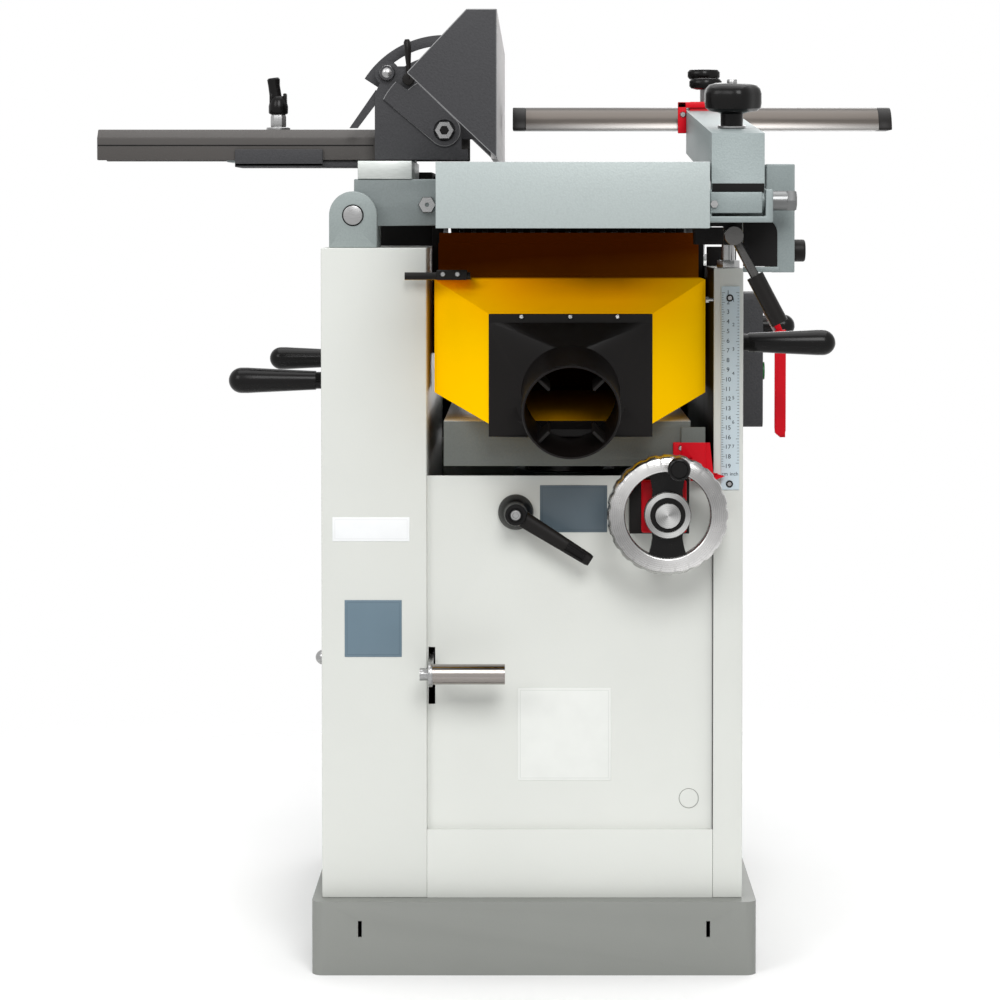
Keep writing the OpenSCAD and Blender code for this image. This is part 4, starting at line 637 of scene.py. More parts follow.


# Each part's finish, and the round on its edges in mm. The dark finishes of the fingers, their rod, the pillar
# and the lead screw under the tables are painted shade.
FINISH_OF = {
    "plinth": (PLINTH, 1.0), "left_column": (CABINET, 1.2), "right_column": (CABINET, 1.2),
    "front_panel": (CABINET, 0.9), "rear_panel": (CABINET, 0.9), "hinge_lugs": (LUG_GREY, 1.2),
    "hinge_pins": (STEEL, 0.6), "lifting_handles": (GLOSS_BLACK, 1.5), "belt_cover": (DARK, 0.8),
    "left_head_plate": (DARK, 0.8), "right_head_plate": (DARK, 0.8), "cutter_bearings": (STEEL, 0.4),
    "motor": (MOTOR, 0.8), "motor_rotor": (STEEL, 0.5), "drive_belt": (RUBBER, 0.5),
    "pillar_housing": (CASTING, 0.8), "scale_plate": (SCALE_BASE, 0.3), "stop_bolts": (STEEL, 0.5),
    "switch_box": (CHARCOAL, 1.5), "wheel_bracket": (BLACK, 1.0), "finger_rod": (DARK_STEEL, 0.4),
    "outfeed_table": (TABLE, 1.0), "outfeed_arm": (CASTING, 1.5), "fence_rail": (RAIL, 0.6),
    "fence_base": (ARM_GREY, 1.0), "guard_mount": (ARM_GREY, 1.5), "guard_pivot": (WORN_STEEL, 0.5),
    "infeed_arm": (CASTING, 1.5), "infeed_table": (TABLE, 1.0), "fence_bar": (BAR, 1.0),
    "tilt_bracket": (CHARCOAL, 0.8), "fence_plate": (FENCE_ALU, 0.6), "fence_ends": (CHARCOAL, 0.9),
    "fence_quadrant": (CHARCOAL, 0.7), "guard_arm": (ARM_GREY, 2.0), "guard_clip": (RED, 1.0),
    "guard_bar": (GUARD_ALU, 0.8), "guard_caps": (BLACK, 1.2), "outfeed_lock": (BLACK, 0.8),
    "infeed_lock": (BLACK, 0.8), "thicknesser_table": (BED, 1.0), "table_pillar": (DARK_STEEL, 0.6),
    "lead_screw": (DARK_STEEL, 0.5), "feed_lever": (STEEL, 0.5), "dust_hood": (YELLOW, 0.7),
    "cutterblock": (STEEL, 0.4), "infeed_roller": (RUBBER, 0.5), "outfeed_roller": (RUBBER, 0.5),
    "kickback_fingers": (DARK, 0.4), "stop_flap": (RED, 1.5), "start_button": (GREEN, 0.8),
}
PIECE = {part: soften(part, finish, width) for part, (finish, width) in FINISH_OF.items()}


def made_of(name, node, finish, *steps, slot=None, stands_for=()):
    """A piece on a node's body, from steps that are each a shape function and what it takes."""
    shape = bmesh.new()
    for step, *given in steps:
        step(shape, *given)
    mesh = into_mesh(name, shape)
    return publish(name, mesh, finish, BODY_OF[node], stands_for)


# Handwheel with its shaft and crank knob
WHEEL, CRANK = Box("handwheel"), Box("crank_knob")
CRANK_R = (CRANK.x1 - CRANK.x0) / 2
CRANK_L = CRANK.y1 - CRANK.y0
WHEEL_FACE = CRANK.y1 + 0.5
HUB_AT = (WHEEL.x, WHEEL_FACE, WHEEL.z)
WHEEL_AXIS, CRANK_AXIS = (WHEEL.x, 0, WHEEL.z), (CRANK.x, 0, CRANK.z)
RIM_R, RIM_BORE, RIM_T = 62.4, 44.0, 20.0
HUB_R, HUB_BORE, HUB_T = 24.0, 17.6, 17.0
SCALLOPS, SCALLOP_DIP, SCALLOP_EDGE = 24, 0.02, 4.5
SPOKE_ROWS = ((HUB_R - 5, 16.5), (HUB_R + 5, 15.5), (HUB_R + 13, 17.0), (RIM_BORE + 2.5, 19.5))
SPOKE_FRONT, SPOKE_BACK, SPOKE_DISH = 8.5, 16.0, 1.6 / 19
SHAFT_R, SHAFT_END_R, SHAFT_OUT, NOSE_R = 8, 12.9, 6.0, 5
GEAR_R, GEAR_END_R, GEAR_T = 19.5, 13, 9
RIM_PROFILE = [
    (RIM_BORE, 3.0), (RIM_BORE + 0.3, 1.2), (RIM_BORE + 1.2, 0.2), (RIM_BORE + 2, 0.0),
    (RIM_R - SCALLOP_EDGE, 0.8), (RIM_R - 3.6, 1.4), (RIM_R - 1.4, 4.6), (RIM_R - 0.3, 7.0), (RIM_R, 10.0),
    (RIM_R, RIM_T - 3), (RIM_R - 1.5, RIM_T - 0.6), (RIM_R - SCALLOP_EDGE, RIM_T), (RIM_BORE + 3, RIM_T),
    (RIM_BORE, RIM_T - 2)]
HUB_PROFILE = [
    (HUB_BORE, 4.0), (HUB_BORE, 0.9), (HUB_BORE + 0.6, 0.3), (HUB_R - 1, 0.0), (HUB_R - 0.3, 0.5), (HUB_R, 1.2),
    (HUB_R, HUB_T), (HUB_BORE, HUB_T)]
CRANK_PROFILE = [
    (0.3, 1.6), (CRANK_R - 3.6, 1.6), (CRANK_R - 3.2, 0.6), (CRANK_R - 2.4, 0.0), (CRANK_R - 1.0, 0.7),
    (CRANK_R - 0.2, 2.2), (CRANK_R, 5.0), (CRANK_R - 0.8, CRANK_L * 0.55), (CRANK_R - 2.6, CRANK_L - 7),
    (CRANK_R - 3.2, CRANK_L - 4), (CRANK_R - 2.8, CRANK_L - 1), (CRANK_R - 3.4, CRANK_L)]


def scallop(angle, radius, height):
    """Finger dips round the rim's outer edge."""
    past = max(0.0, radius - RIM_R + SCALLOP_EDGE) / SCALLOP_EDGE
    return 1.0 - SCALLOP_DIP * past * max(0.0, -math.cos(SCALLOPS * angle)) ** 0.7


def spoke(shape, sign):
    """One broad spoke from the hub to the rim, dished towards its edges."""
    def spot(x, reach, depth):
        return WHEEL.x + x, WHEEL_FACE + depth, WHEEL.z + sign * math.sqrt(max(reach * reach - x * x, 1))

    rings = []
    for reach, half in SPOKE_ROWS:
        across = [half * share for share in (-1.0, -0.5, 0.0, 0.5, 1.0)]
        rings.append(ring(shape, [spot(x, reach, SPOKE_FRONT + SPOKE_DISH * abs(x)) for x in across]
                          + [spot(x, reach, SPOKE_BACK) for x in reversed(across)]))
    walls(shape, rings)
    for end in (rings[0], rings[-1]):
        for j in range(len(end) // 2 - 1):
            shape.faces.new((end[j], end[-1 - j], end[-2 - j], end[j + 1]))


# Both turned finishes carry a painted highlight in sectors round the wheel's axis.
SPUN = turned_metal("hub_turned", linear(196, 196, 195), 0.24, WHEEL.x, WHEEL.z)
RIM_METAL = turned_metal("rim_turned", linear(204, 203, 202), 0.24, WHEEL.x, WHEEL.z)
made_of("handwheel_rim", "handwheel", RIM_METAL, (hoop, RIM_PROFILE, HUB_AT, BACK, 192, scallop),
        slot="polished_alu", stands_for=("handwheel",))
made_of("handwheel_spokes", "handwheel", GLOSS_BLACK, (spoke, -1), (spoke, 1))
made_of("handwheel_hub_ring", "handwheel", SPUN, (hoop, HUB_PROFILE, HUB_AT, BACK), slot="polished_alu")
made_of("handwheel_hub_black", "handwheel", GLOSS_BLACK,
        (lathe, [(HUB_BORE - 0.1, 1.6), (HUB_BORE - 0.1, HUB_T + 2.7)], HUB_AT, BACK, 64))
made_of("handwheel_shaft", "handwheel", SPUN,
        (lathe, [(SHAFT_R, WHEEL_FACE + HUB_T + 1), (SHAFT_R, WHEEL.y1 - GEAR_T),
                 (GEAR_R, WHEEL.y1 - GEAR_T + 0.5), (GEAR_END_R, WHEEL.y1)], WHEEL_AXIS, BACK),
        (lathe, [(0.4, -SHAFT_OUT), (SHAFT_END_R - 0.5, -SHAFT_OUT), (SHAFT_END_R, 0.5 - SHAFT_OUT),
                 (SHAFT_END_R, 4)], HUB_AT, BACK, 64),
        (lathe, [(NOSE_R, CRANK.y0 + 3), (NOSE_R, WHEEL_FACE + 4)], CRANK_AXIS, BACK, 24), slot="bright_steel")
made_of("crank_knob_turned", "crank_knob", GLOSS_BLACK,
        (lathe, CRANK_PROFILE, (CRANK.x, CRANK.y0, CRANK.z), BACK, 64), stands_for=("crank_knob",))

# Red plate on the handwheel's bearing block
BLOCK = Box("wheel_bracket")
PANEL_FACE = BLOCK.y1
made_of("wheel_bracket_plate", "wheel_bracket", RED,
        (brick, (BLOCK.x0 + 12, BLOCK.y0 - 6, BLOCK.z0 + 1.5), (BLOCK.x1 - 3, BLOCK.y0 + 2, BLOCK.z1 - 1), 2.5))

# Thickness lock: boss, ribbed arm and screw
LOCK = Box("thickness_lock")
BOSS_R, LOCK_TURN = 18.5, math.radians(32)
BOSS_AT = Vector((LOCK.x0 + BOSS_R, PANEL_FACE, LOCK.z1 - BOSS_R))
LOCK_WAY = Vector((math.cos(LOCK_TURN), 0, -math.sin(LOCK_TURN)))
LOCK_ACROSS = Vector((math.sin(LOCK_TURN), 0, math.cos(LOCK_TURN)))
ARM_ROOT = Vector((BOSS_AT.x, LOCK.y0 - 1, BOSS_AT.z))
ARM_STEPS = {2: 9.2, 14: 8.6, 40: 7.9, 66: 7.2, 88: 6.6, 91.5: 5.6}
RIB_COUNT, RIB_PITCH, RIB_SIZE, RIB_ALONG, RIB_LIFT = 4, 2.8, Vector((22, 2.2, 1.3)), 73, 4.6
RIB_START = (ARM_ROOT + LOCK_WAY * RIB_ALONG + Vector(FRONT) * RIB_LIFT
             - LOCK_ACROSS * RIB_PITCH * (RIB_COUNT - 1) / 2)
BOSS_PROFILE = [(BOSS_R, 0), (BOSS_R, 5), (17.8, 6.5), (16.6, 12), (13.2, 18), (11.6, 21), (11.6, 34),
                (10.8, 36), (7.6, 36.4), (7.0, 35.2), (6.2, 35)]
BOSS_STUD = [(5, PANEL_FACE - LOCK.y1 + 0.5), (5, 1)]
BOSS_SCREW = [(5.6, 34), (5.6, 36.2), (5.0, 37.2), (3.4, 37.4), (2.8, 36.2), (0.2, 36.2)]
made_of("thickness_lock_boss", "thickness_lock", GLOSS_BLACK, (lathe, BOSS_PROFILE, BOSS_AT, FRONT, 64),
        (lathe, BOSS_STUD, BOSS_AT, FRONT, 24), stands_for=("thickness_lock",))
made_of("thickness_lock_arm", "thickness_lock", BLACK,
        (tube, [ARM_ROOT + LOCK_WAY * along for along in ARM_STEPS], list(ARM_STEPS.values()), 28, 0.62))
made_of("thickness_lock_screw", "thickness_lock", STEEL, (lathe, BOSS_SCREW, BOSS_AT, FRONT, 32))
grow("thickness_lock_ribs", RIBS, {
    "Count": RIB_COUNT, "Start": RIB_START * MM, "Step": LOCK_ACROSS * RIB_PITCH * MM, "Size": RIB_SIZE * MM,
    "Turn": (0, LOCK_TURN, 0), "Finish": GLOSS_BLACK}, "thickness_lock")

# Lobed guard knob, upright on the leaning arm, and the clip's winged knobs
KNOB = Box("guard_knob")
KNOB_AT = (KNOB.x, KNOB.y + 2.46, KNOB.z0 + 1.06)
KNOB_LEAN = math.radians(4.55)
KNOB_UP = (0, -math.sin(KNOB_LEAN), math.cos(KNOB_LEAN))
KNOB_PROFILE = [(11, 1.2), (11.3, 14), (15, 15.5), (24, 17), (27.5, 20), (28.2, 25), (28.2, 34), (26.8, 39),
                (23.5, 42.4), (17, 44.2), (9, 44.8), (0.3, 44.9)]
WING_SPREAD, WING_RAISE = 1.14, 5.0
WING_PROFILE = [(0.4, -13), (0.62, -11.5), (0.7, -9), (0.7, -3.5), (0.62, -1), (0.3, 0)]


def five_lobes(angle, radius, height):
    """Lobes round the knob's body, but not round its neck and crown."""
    return 1.0 + 0.05 * math.cos(5 * angle) if 14.5 < height < 43 else 1.0


def two_wings(angle, radius, height):
    return 0.94 + 0.42 * abs(math.cos(angle)) ** 3


made_of("guard_knob_body", "guard_knob", GLOSS_BLACK, (lathe, KNOB_PROFILE, KNOB_AT, KNOB_UP, 120, five_lobes),
        stands_for=("guard_knob",))
made_of("guard_knob_metal", "guard_knob", STEEL,
        (lathe, [(13.5, 0.25), (14, 0.6), (14, 2.2), (13.5, 2.6)], KNOB_AT, KNOB_UP),
        (lathe, [(5.2, 44), (5.2, 47.2), (4.6, 48.2), (0.3, 48.6)], KNOB_AT, KNOB_UP, 24))
for knob in ("clip_knob_front", "clip_knob_rear"):
    box = Box(knob)
    reach = max(box.x1 - box.x0, box.y1 - box.y0) / 2 * WING_SPREAD
    top = box.z1 + WING_RAISE
    stem = (box.x, box.y, 0)
    made_of(knob + "_wings", knob, GLOSS_BLACK,
            (lathe, [(reach * share, top + drop) for share, drop in WING_PROFILE] + [(0.2, top)],
             stem, UP, 96, two_wings), stands_for=(knob,))
    made_of(knob + "_stem", knob, STEEL,
            (lathe, [(5.4, box.z0), (5.4, box.z0 + 1.6), (4.2, box.z0 + 1.8), (4.2, top - 12)], stem, UP, 32))

# Dust port: a square-to-round funnel, its collar with four fins, and its screwed flange
PORT_DROP = math.radians(15)
PORT_WAY = Vector((0, -math.cos(PORT_DROP), -math.sin(PORT_DROP)))
PORT_UP = Vector((0, -math.sin(PORT_DROP), math.cos(PORT_DROP)))
PORT_AT = Vector((PORT.x, PORT.y1 - 4, PORT.z1 - 79))
PORT_R, PORT_BORE, PORT_LONG, PORT_WALL = 50.0, 47.0, 70.0, 2.5
PORT_LOW, PORT_HIGH, PORT_SILL = PORT.z1 - 126, PORT.z1 - 8, 16
PORT_TURNS = range(0, 360, 5)
FLANGE_FACE, FLANGE_H = PORT.y1 - 5.2, 9.5
FIN_T, FIN_DEEP, FIN_LONG, FIN_SET_IN = 3.6, 16, 30, 4
# Bearing and spread of each side of the rectangle, and its ends as shares of the width and height
FAN_SIDES = ((75, 30, (1, 1), (0, 1)), (170, 20, (0, 1), (0, 0)),
             (255, 30, (0, 0), (1, 0)), (350, 20, (1, 0), (1, 1)))


def port_ring(shape, radius, along):
    return ring(shape, [PORT_AT + PORT_WAY * along + (Vector(RIGHT) * math.cos(math.radians(turn))
                                                      + PORT_UP * math.sin(math.radians(turn))) * radius
                        for turn in PORT_TURNS])


def fan_share(turn):
    """Share of a rectangle's width and height at a bearing: fanned along its sides, gathered in its corners."""
    for start, spread, a, b in FAN_SIDES:
        share = (turn - start) % 360 / spread
        if share <= 1:
            return [p + (q - p) * share for p, q in zip(a, b)]
    return turn < 90 or turn > 270, turn < 180


def frame_ring(shape, inset, z0, z1, y):
    """A rectangle with one point for each point of a port ring."""
    x0, x1 = PORT.x0 + inset, PORT.x1 - inset
    return ring(shape, [(x0 + (x1 - x0) * across, y, z0 + (z1 - z0) * up)
                        for across, up in map(fan_share, PORT_TURNS)])


def port_funnel(shape):
    outer, inner = (0, PORT_LOW, PORT_HIGH), (PORT_WALL, PORT_LOW + PORT_SILL, PORT_HIGH - PORT_WALL)
    collar = ((PORT_R + 0.6, 5), (PORT_R, 6.5), (PORT_R, PORT_LONG - 1), (PORT_R - 0.8, PORT_LONG),
              (PORT_BORE + 0.6, PORT_LONG), (PORT_BORE, PORT_LONG - 1), (PORT_BORE, 6))
    loft(shape, [frame_ring(shape, *outer, PORT.y1), frame_ring(shape, *outer, PORT.y1 - 4.5)]
         + [port_ring(shape, *row) for row in collar]
         + [frame_ring(shape, *inner, PORT.y1 - 3), frame_ring(shape, *inner, PORT.y1)], True)
    bmesh.ops.remove_doubles(shape, verts=shape.verts, dist=0.02 * MM)


def port_fin(shape, turn):
    before = set(shape.verts)
    top = PORT_LONG - FIN_SET_IN
    brick(shape, (PORT_BORE - FIN_DEEP, -FIN_T / 2, top - FIN_LONG), (PORT_BORE + 1, FIN_T / 2, top), 1.2)
    place = turning(PORT_AT, PORT_WAY) @ Matrix.Rotation(math.radians(turn), 4, "Z")
    for v in set(shape.verts) - before:
        v.co = place @ (v.co / MM) * MM


made_of("dust_port_funnel", "dust_port", PORT_BLACK, (port_funnel,), stands_for=("dust_port",))
made_of("dust_port_fins", "dust_port", BLACK, *((port_fin, turn) for turn in (45, 135, 225, 315)))
made_of("dust_port_flange", "dust_port", BLACK,
        (brick, (PORT.x0, FLANGE_FACE, PORT.z1 - FLANGE_H), (PORT.x1, PORT.y1, PORT.z1), 0.7))
screws("dust_port_screws", "dust_port",
       [(PORT.x + aside, FLANGE_FACE, PORT.z1 - 3.2) for aside in (-50.5, -0.5, 47.9)], 2.7, 1.8, (0, -1, 0.25))

# Red pointer under the bed, its plate, its blade on the depth scale and its screw
RED_TOP, BLADE_TOP, BLADE_LOW = BED_BOX.z1 - 22, BED_BOX.z1 - 22.4, BED_BOX.z0 + 4.8
POINTER_X, POINTER_FACE = BED_BOX.x1 - 29, BED_BOX.y0 + 2.4
BLADE = ((0, BLADE_LOW), (23, BLADE_LOW), (35.7, BLADE_LOW + 4.6), (23.5, BLADE_LOW + 8.7), (20, BLADE_TOP),
         (0, BLADE_TOP))


def on_pointer(c):
    return c.x > POINTER_X + 0.2 or c.y < POINTER_FACE + 3.1


def cut_level(piece, height, chosen):
    """Splits chosen faces at a height in mm, so that each side can have its own finish."""
    shape = bmesh.new()
    shape.from_mesh(piece.data)
    picked = [f for f in shape.faces if chosen(f.calc_center_median() / MM)]
    edges = {e for f in picked for e in f.edges}
    verts = {v for f in picked for v in f.verts}
    bmesh.ops.bisect_plane(shape, geom=picked + list(edges) + list(verts), dist=0.001 * MM,
                           plane_co=(0, 0, height * MM), plane_no=UP)
    shape.to_mesh(piece.data)
    shape.free()


cut_level(PIECE["thicknesser_table"], RED_TOP, on_pointer)
repaint(PIECE["thicknesser_table"], RED, lambda c, way: on_pointer(c) and c.z < RED_TOP)
made_of("pointer_plate", "thicknesser_table", RED,
        (brick, (POINTER_X - 18.4, POINTER_FACE, RED_TOP - 28.4),
         (POINTER_X + 1, POINTER_FACE + 3.5, RED_TOP), 1.2))
made_of("pointer_blade", "thicknesser_table", RED,
        (prism, [(POINTER_X + along, z) for along, z in BLADE], POINTER_FACE + 1, POINTER_FACE + 3.2))
screws("pointer_screw", "thicknesser_table", [(POINTER_X - 10, POINTER_FACE, RED_TOP - 6)], 3.2, 1.5)

# Other finishes on parts of one casting or moulding, some of them painted shade in recesses and gaps
LOCK_BOX = Box("outfeed_lock")
HOOD_MIDDLE, HOOD_SHELF = Vector((HOOD.x0 + 171, HOOD.y0 + 115, HOOD.z0 + 82)), HOOD.z1 - 38
LATCH_CORNER = Vector((HOOD.x0 + 70, HOOD.y0 + 86, HOOD.z1 - 36.8))
MOUNT_RECESS = Vector((MOUNT.x0 + 39.5, MOUNT.y0 + 41, MOUNT.z0 + 48.5))
TABLE_LUG, ROD_LEFT = Vector((TABLE_BOX.x1 - 57, 0, TABLE_BOX.z1 - 53)), Box("feed_lever").x0 + 13.4
LOCK_STEM, LOCK_FALL = Vector((LOCK_BOX.x0 + 9, 0, LOCK_BOX.z1 - 9)), Vector((0.469, 0, -0.883))
LOCK_GRIP = 44.5
for part, finish, chosen in (
        ("dust_hood", BLACK,
         lambda c, way: c.x < LATCH_CORNER.x and c.y < LATCH_CORNER.y and c.z > LATCH_CORNER.z),
        # Painted shade on the inside of the hood's port.
        ("dust_hood", HOOD_INSIDE, lambda c, way: c.z < HOOD_SHELF and (HOOD_MIDDLE - c).dot(way) > 0),
        ("feed_lever", CHROME, lambda c, way: c.x > ROD_LEFT),
        # Painted shade on the right column's inner face.
        ("right_column", DARK, lambda c, way: c.x < COLUMN.x0 + 0.3),
        # Painted shade under the right end of the outfeed table.
        ("outfeed_table", DARK, lambda c, way: c.x > TABLE_LUG.x and c.z < TABLE_LUG.z),
        # Painted shade in the guard mount's recess.
        ("guard_mount", DARK,
         lambda c, way: c.x < MOUNT_RECESS.x and c.y > MOUNT_RECESS.y and c.z < MOUNT_RECESS.z),
        *((lock, DARK_STEEL, lambda c, way: (c - LOCK_STEM).dot(LOCK_FALL) < LOCK_GRIP)
          for lock in ("outfeed_lock", "infeed_lock"))):
    repaint(PIECE[part], finish, chosen)

# Nuts, bolts and caps
PIN, PIVOT, HINGE_ARM = Box("hinge_pins"), Box("guard_pivot"), Box("outfeed_arm")
TILT_X, TILT_Z, BRACKET_FACE = BRACKET.x1 - 25, BRACKET.z0 + 31, LEVER.y1 - 0.5
TILT_AT = (TILT_X, BRACKET_FACE, TILT_Z)
SLOT_AT = (BRACKET.x0 + 13.2, BRACKET_FACE + 0.3, BRACKET.z1 - 13)
SIDE_AT = (LEFT_COLUMN.x0 + 0.5, LEFT_COLUMN.y0 + 23, LEFT_COLUMN.z0 + 250)
STOP_AT = (COLUMN.x0, COLUMN.y0 + 3.6, COLUMN.z1 - 33)
HINGE_AT = (HINGE_ARM.x1 - 18, HINGE_ARM.y0 + 7.7, HINGE_ARM.z1 - 27)
made_of("casting_knob_cap", "guard_mount", BLACK,
        (lathe, rounded_end(11, MOUNT.x1 - 12, MOUNT.x1 + 1.5, 2.2),
         (0, MOUNT.y0 + 92.5, MOUNT.z0 + 21), RIGHT))
made_of("tilt_pivot_nut", "tilt_bracket", STEEL, (hex_nut, TILT_AT, FRONT, 10.8, 8, 5.2))
made_of("tilt_pivot_core", "tilt_bracket", DARK,
        (lathe, [(5.1, 3), (5.1, 7.0), (4.4, 7.6), (0.2, 7.6)], TILT_AT, FRONT, 24))
made_of("hinge_arm_bolt", "outfeed_arm", STEEL, (hex_nut, HINGE_AT, FRONT, 9.6, 9.5, 2.5))
made_of("slot_bolt_dome", "tilt_bracket", STEEL, (dome, 8.8, 8.4, SLOT_AT, FRONT, 40))
made_of("hinge_pin_ring", "hinge_pins", DARK, (washer, 10.2, 11.3, 0.5, (PIN.x, PIN.y0 + 2.5, PIN.z), 64))
made_of("column_side_bolt", "left_column", STEEL, (dome, 8, 8.5, SIDE_AT, LEFT, 32))
made_of("hood_stop_bolt", "right_column", STEEL, (lathe, [(2.0, 0), (2.0, 5.6)], STOP_AT, LEFT, 20),
        (lathe, [(3.4, 5.0), (3.4, 8.0), (2.8, 8.6)], STOP_AT, LEFT, 6))
made_of("guard_pivot_nut", "guard_pivot", WORN_STEEL,
        (hex_nut, (PIVOT.x1 - 9.9, PIVOT.y, PIVOT.z), RIGHT, 11, 9.5, 4))

# Latch on the hood's shoulder, and the hood's lip
LATCH_X, LATCH_FACE, LATCH_Z, HOOD_LIP = HOOD.x0 + 33, HOOD.y0 + 25, HOOD.z1 - 37, HOOD.y0 + 187.8
made_of("hood_latch_block", "dust_hood", BLACK,
        (brick, (LATCH_X, LATCH_FACE, LATCH_Z), (LATCH_X + 32, LATCH_FACE + 5, LATCH_Z + 10.5), 1.2))
screws("hood_latch_screws", "dust_hood",
       [(LATCH_X + along, LATCH_FACE, LATCH_Z + 6) for along in (6.7, 21.8)], 3.0, 1.8)
made_of("dust_hood_lip", "dust_hood", YELLOW,
        (brick, (HOOD.x0 + 31, HOOD_LIP, HOOD.z1 - 0.3), (HOOD.x1 - 6, HOOD_LIP + 2.4, HOOD.z1 + 11), 0.5))

# Bare labels: how far each stands out, its sides from its part's lower left corner, and its colours
LABEL_ON = {"left_column": (LEFT_COLUMN, LEFT_COLUMN.y0), "front_panel": (PANEL, PANEL_FACE)}
for label, node, lift, (left, right, low, high), colour, edge in (
        ("label_white", "left_column", 0.6, (11.6, 92.1, 374.9, 400), (240, 242, 243), (228, 230, 231)),
        ("label_blue_grey", "left_column", 0.6, (24.1, 83.8, 253.6, 313.2), (98, 119, 132), (86, 106, 119)),
        ("label_panel", "front_panel", 0.6, (118.2, 188.5, 383.6, 432.9), (80, 94, 103), (70, 83, 92)),
        ("label_pale", "front_panel", 0.5, (95.1, 192.6, 122.5, 220), (226, 228, 224), (212, 215, 210))):
    on, face = LABEL_ON[node]
    x0, x1, z0, z1 = on.x0 + left, on.x0 + right, on.z0 + low, on.z0 + high
    made_of(label, node, printed_plate(label, linear(*colour), linear(*edge), x0, x1, z0, z1),
            (brick, (x0, face - lift, z0), (x1, face + 0.4, z1), 0.3), slot="scale_white")

# Plug in the front panel
PLUG_R, PLUG_AT = 9.9, (PANEL.x1 - 24.6, PANEL_FACE, PANEL.z0 + 103.6)
made_of("panel_plug", "front_panel", CABINET,
        (lathe, [(PLUG_R, -1), (PLUG_R, 0.5), (PLUG_R - 0.7, 1.1), (0.2, 1.3)], PLUG_AT, FRONT))
made_of("panel_plug_gap", "front_panel", PLINTH, (washer, PLUG_R, PLUG_R + 0.6, 0.25, PLUG_AT, 48))

# Depth scale: ticks grown in rows, plain numbers, and the plate's two screws
SCALE = Box("scale_plate")
SCALE_TOP, CM, INCH = SCALE.z1 - 6.5, 181.0 / 18, 25.4
CM_COUNT, INCH_COUNT, INCH_DROP, UNIT_DROP = 19, 7, 8, 18.8 * CM
SCALE_SCREWS = [(SCALE.x - 0.7, SCALE.y0, z) for z in (SCALE.z1 - 12, SCALE.z0 + 6)]
SCREW_R = 2.9


def scale_row(name, count, pitch, x, side, every):
    grow(name, TICKS, {
        "Count": count, "Pitch": pitch * MM, "Length": 1.8 * MM, "Stroke": 0.4 * MM, "Depth": 0.3 * MM,
        "Long Every": every, "Long Factor": 1.8, "Side": side,
        "Start": Vector((x, SCALE.y0 - 0.05, SCALE_TOP)) * MM, "Finish": INK}, "scale_plate")


def print_words(shape, words, size, x, drop):
    """Flat words as a mesh on the plate's front, a drop below its first tick."""
    curve = bpy.data.curves.new("number", "FONT")
    curve.body = words
    curve.size = size * MM
    curve.align_x = curve.align_y = "CENTER"
    curve.extrude = 0.1 * MM
    holder = linked("number", curve)
    mesh = bpy.data.meshes.new_from_object(holder.evaluated_get(bpy.context.evaluated_depsgraph_get()))
    bpy.data.objects.remove(holder)
    spot = Vector((x, SCALE.y0 - 0.1, SCALE_TOP - drop)) * MM
    mesh.transform(Matrix.Translation(spot) @ Matrix.Rotation(math.pi / 2, 4, "X"))
    shape.from_mesh(mesh)


scale_row("scale_cm_ticks", 73, CM / 4, SCALE.x0 + 0.4, 1, 4)
scale_row("scale_inch_ticks", 57, INCH / 8, SCALE.x1 - 0.4, -1, 8)
made_of("scale_numbers", "scale_plate", INK,
        *((print_words, str(i + 1), 6.4, SCALE.x0 + 7, i * CM) for i in range(CM_COUNT)),
        *((print_words, str(i + 1), 5.0, SCALE.x1 - 6.4, INCH_DROP + i * INCH) for i in range(INCH_COUNT)),
        (print_words, "cm", 5.4, SCALE.x0 + 3.8, UNIT_DROP),
        (print_words, "inch", 5.4, SCALE.x1 - 5.4, UNIT_DROP))
screws("scale_screws", "scale_plate", SCALE_SCREWS, SCREW_R, 1.2)
made_of("scale_washers", "scale_plate", DARK,
        *((washer, SCREW_R, SCREW_R + 0.8, 0.6, at, 40) for at in SCALE_SCREWS))

# Trim of the guard's mount, arm and clip
ARM, CLIP = Box("guard_arm"), Box("guard_clip")
FORK_FACE, CLIP_FACE, CLIP_LEFT = MOUNT.y0 - 2, CLIP.y0 - 3, CLIP.x0 - 13.5
CLIP_BACK, CLIP_TOP, FORK_TOP = CLIP.y0 - 0.2, CLIP.z1 - 0.5, MOUNT.z1 - 27.8
HOLLOW_LEFT, HOLLOW_RIGHT, HOLLOW_BACK, HOLLOW_LOW, HOLLOW_R = (
    MOUNT.x0 + 36.5, MOUNT.x0 + 70, MOUNT.y0 + 54.8, MOUNT.z0 + 6, 15)
made_of("guard_fork_front", "guard_mount", ARM_GREY,
        (brick, (MOUNT.x0 + 1, FORK_FACE, FORK_TOP - 20.2), (MOUNT.x1 - 48, MOUNT.y0 + 0.6, FORK_TOP), 1.1))
# A dark strip in the fork's gap, as painted shade.
made_of("guard_fork_gap", "guard_arm", DARK,
        (brick, (ARM.x0 + 0.4, ARM.y0 - 1, FORK_TOP + 0.2), (ARM.x1 - 0.4, ARM.y0 + 0.8, FORK_TOP + 8.4)))
made_of("guard_clip_leg", "guard_clip", RED,
        (brick, (CLIP_LEFT, CLIP_FACE, CLIP.z0 + 1), (CLIP_LEFT + 9.5, CLIP_BACK, CLIP_TOP), 0.8),
        (brick, (CLIP_LEFT, CLIP_FACE, CLIP_TOP - 6.5), (CLIP.x1 - 16, CLIP_BACK, CLIP_TOP), 0.8))
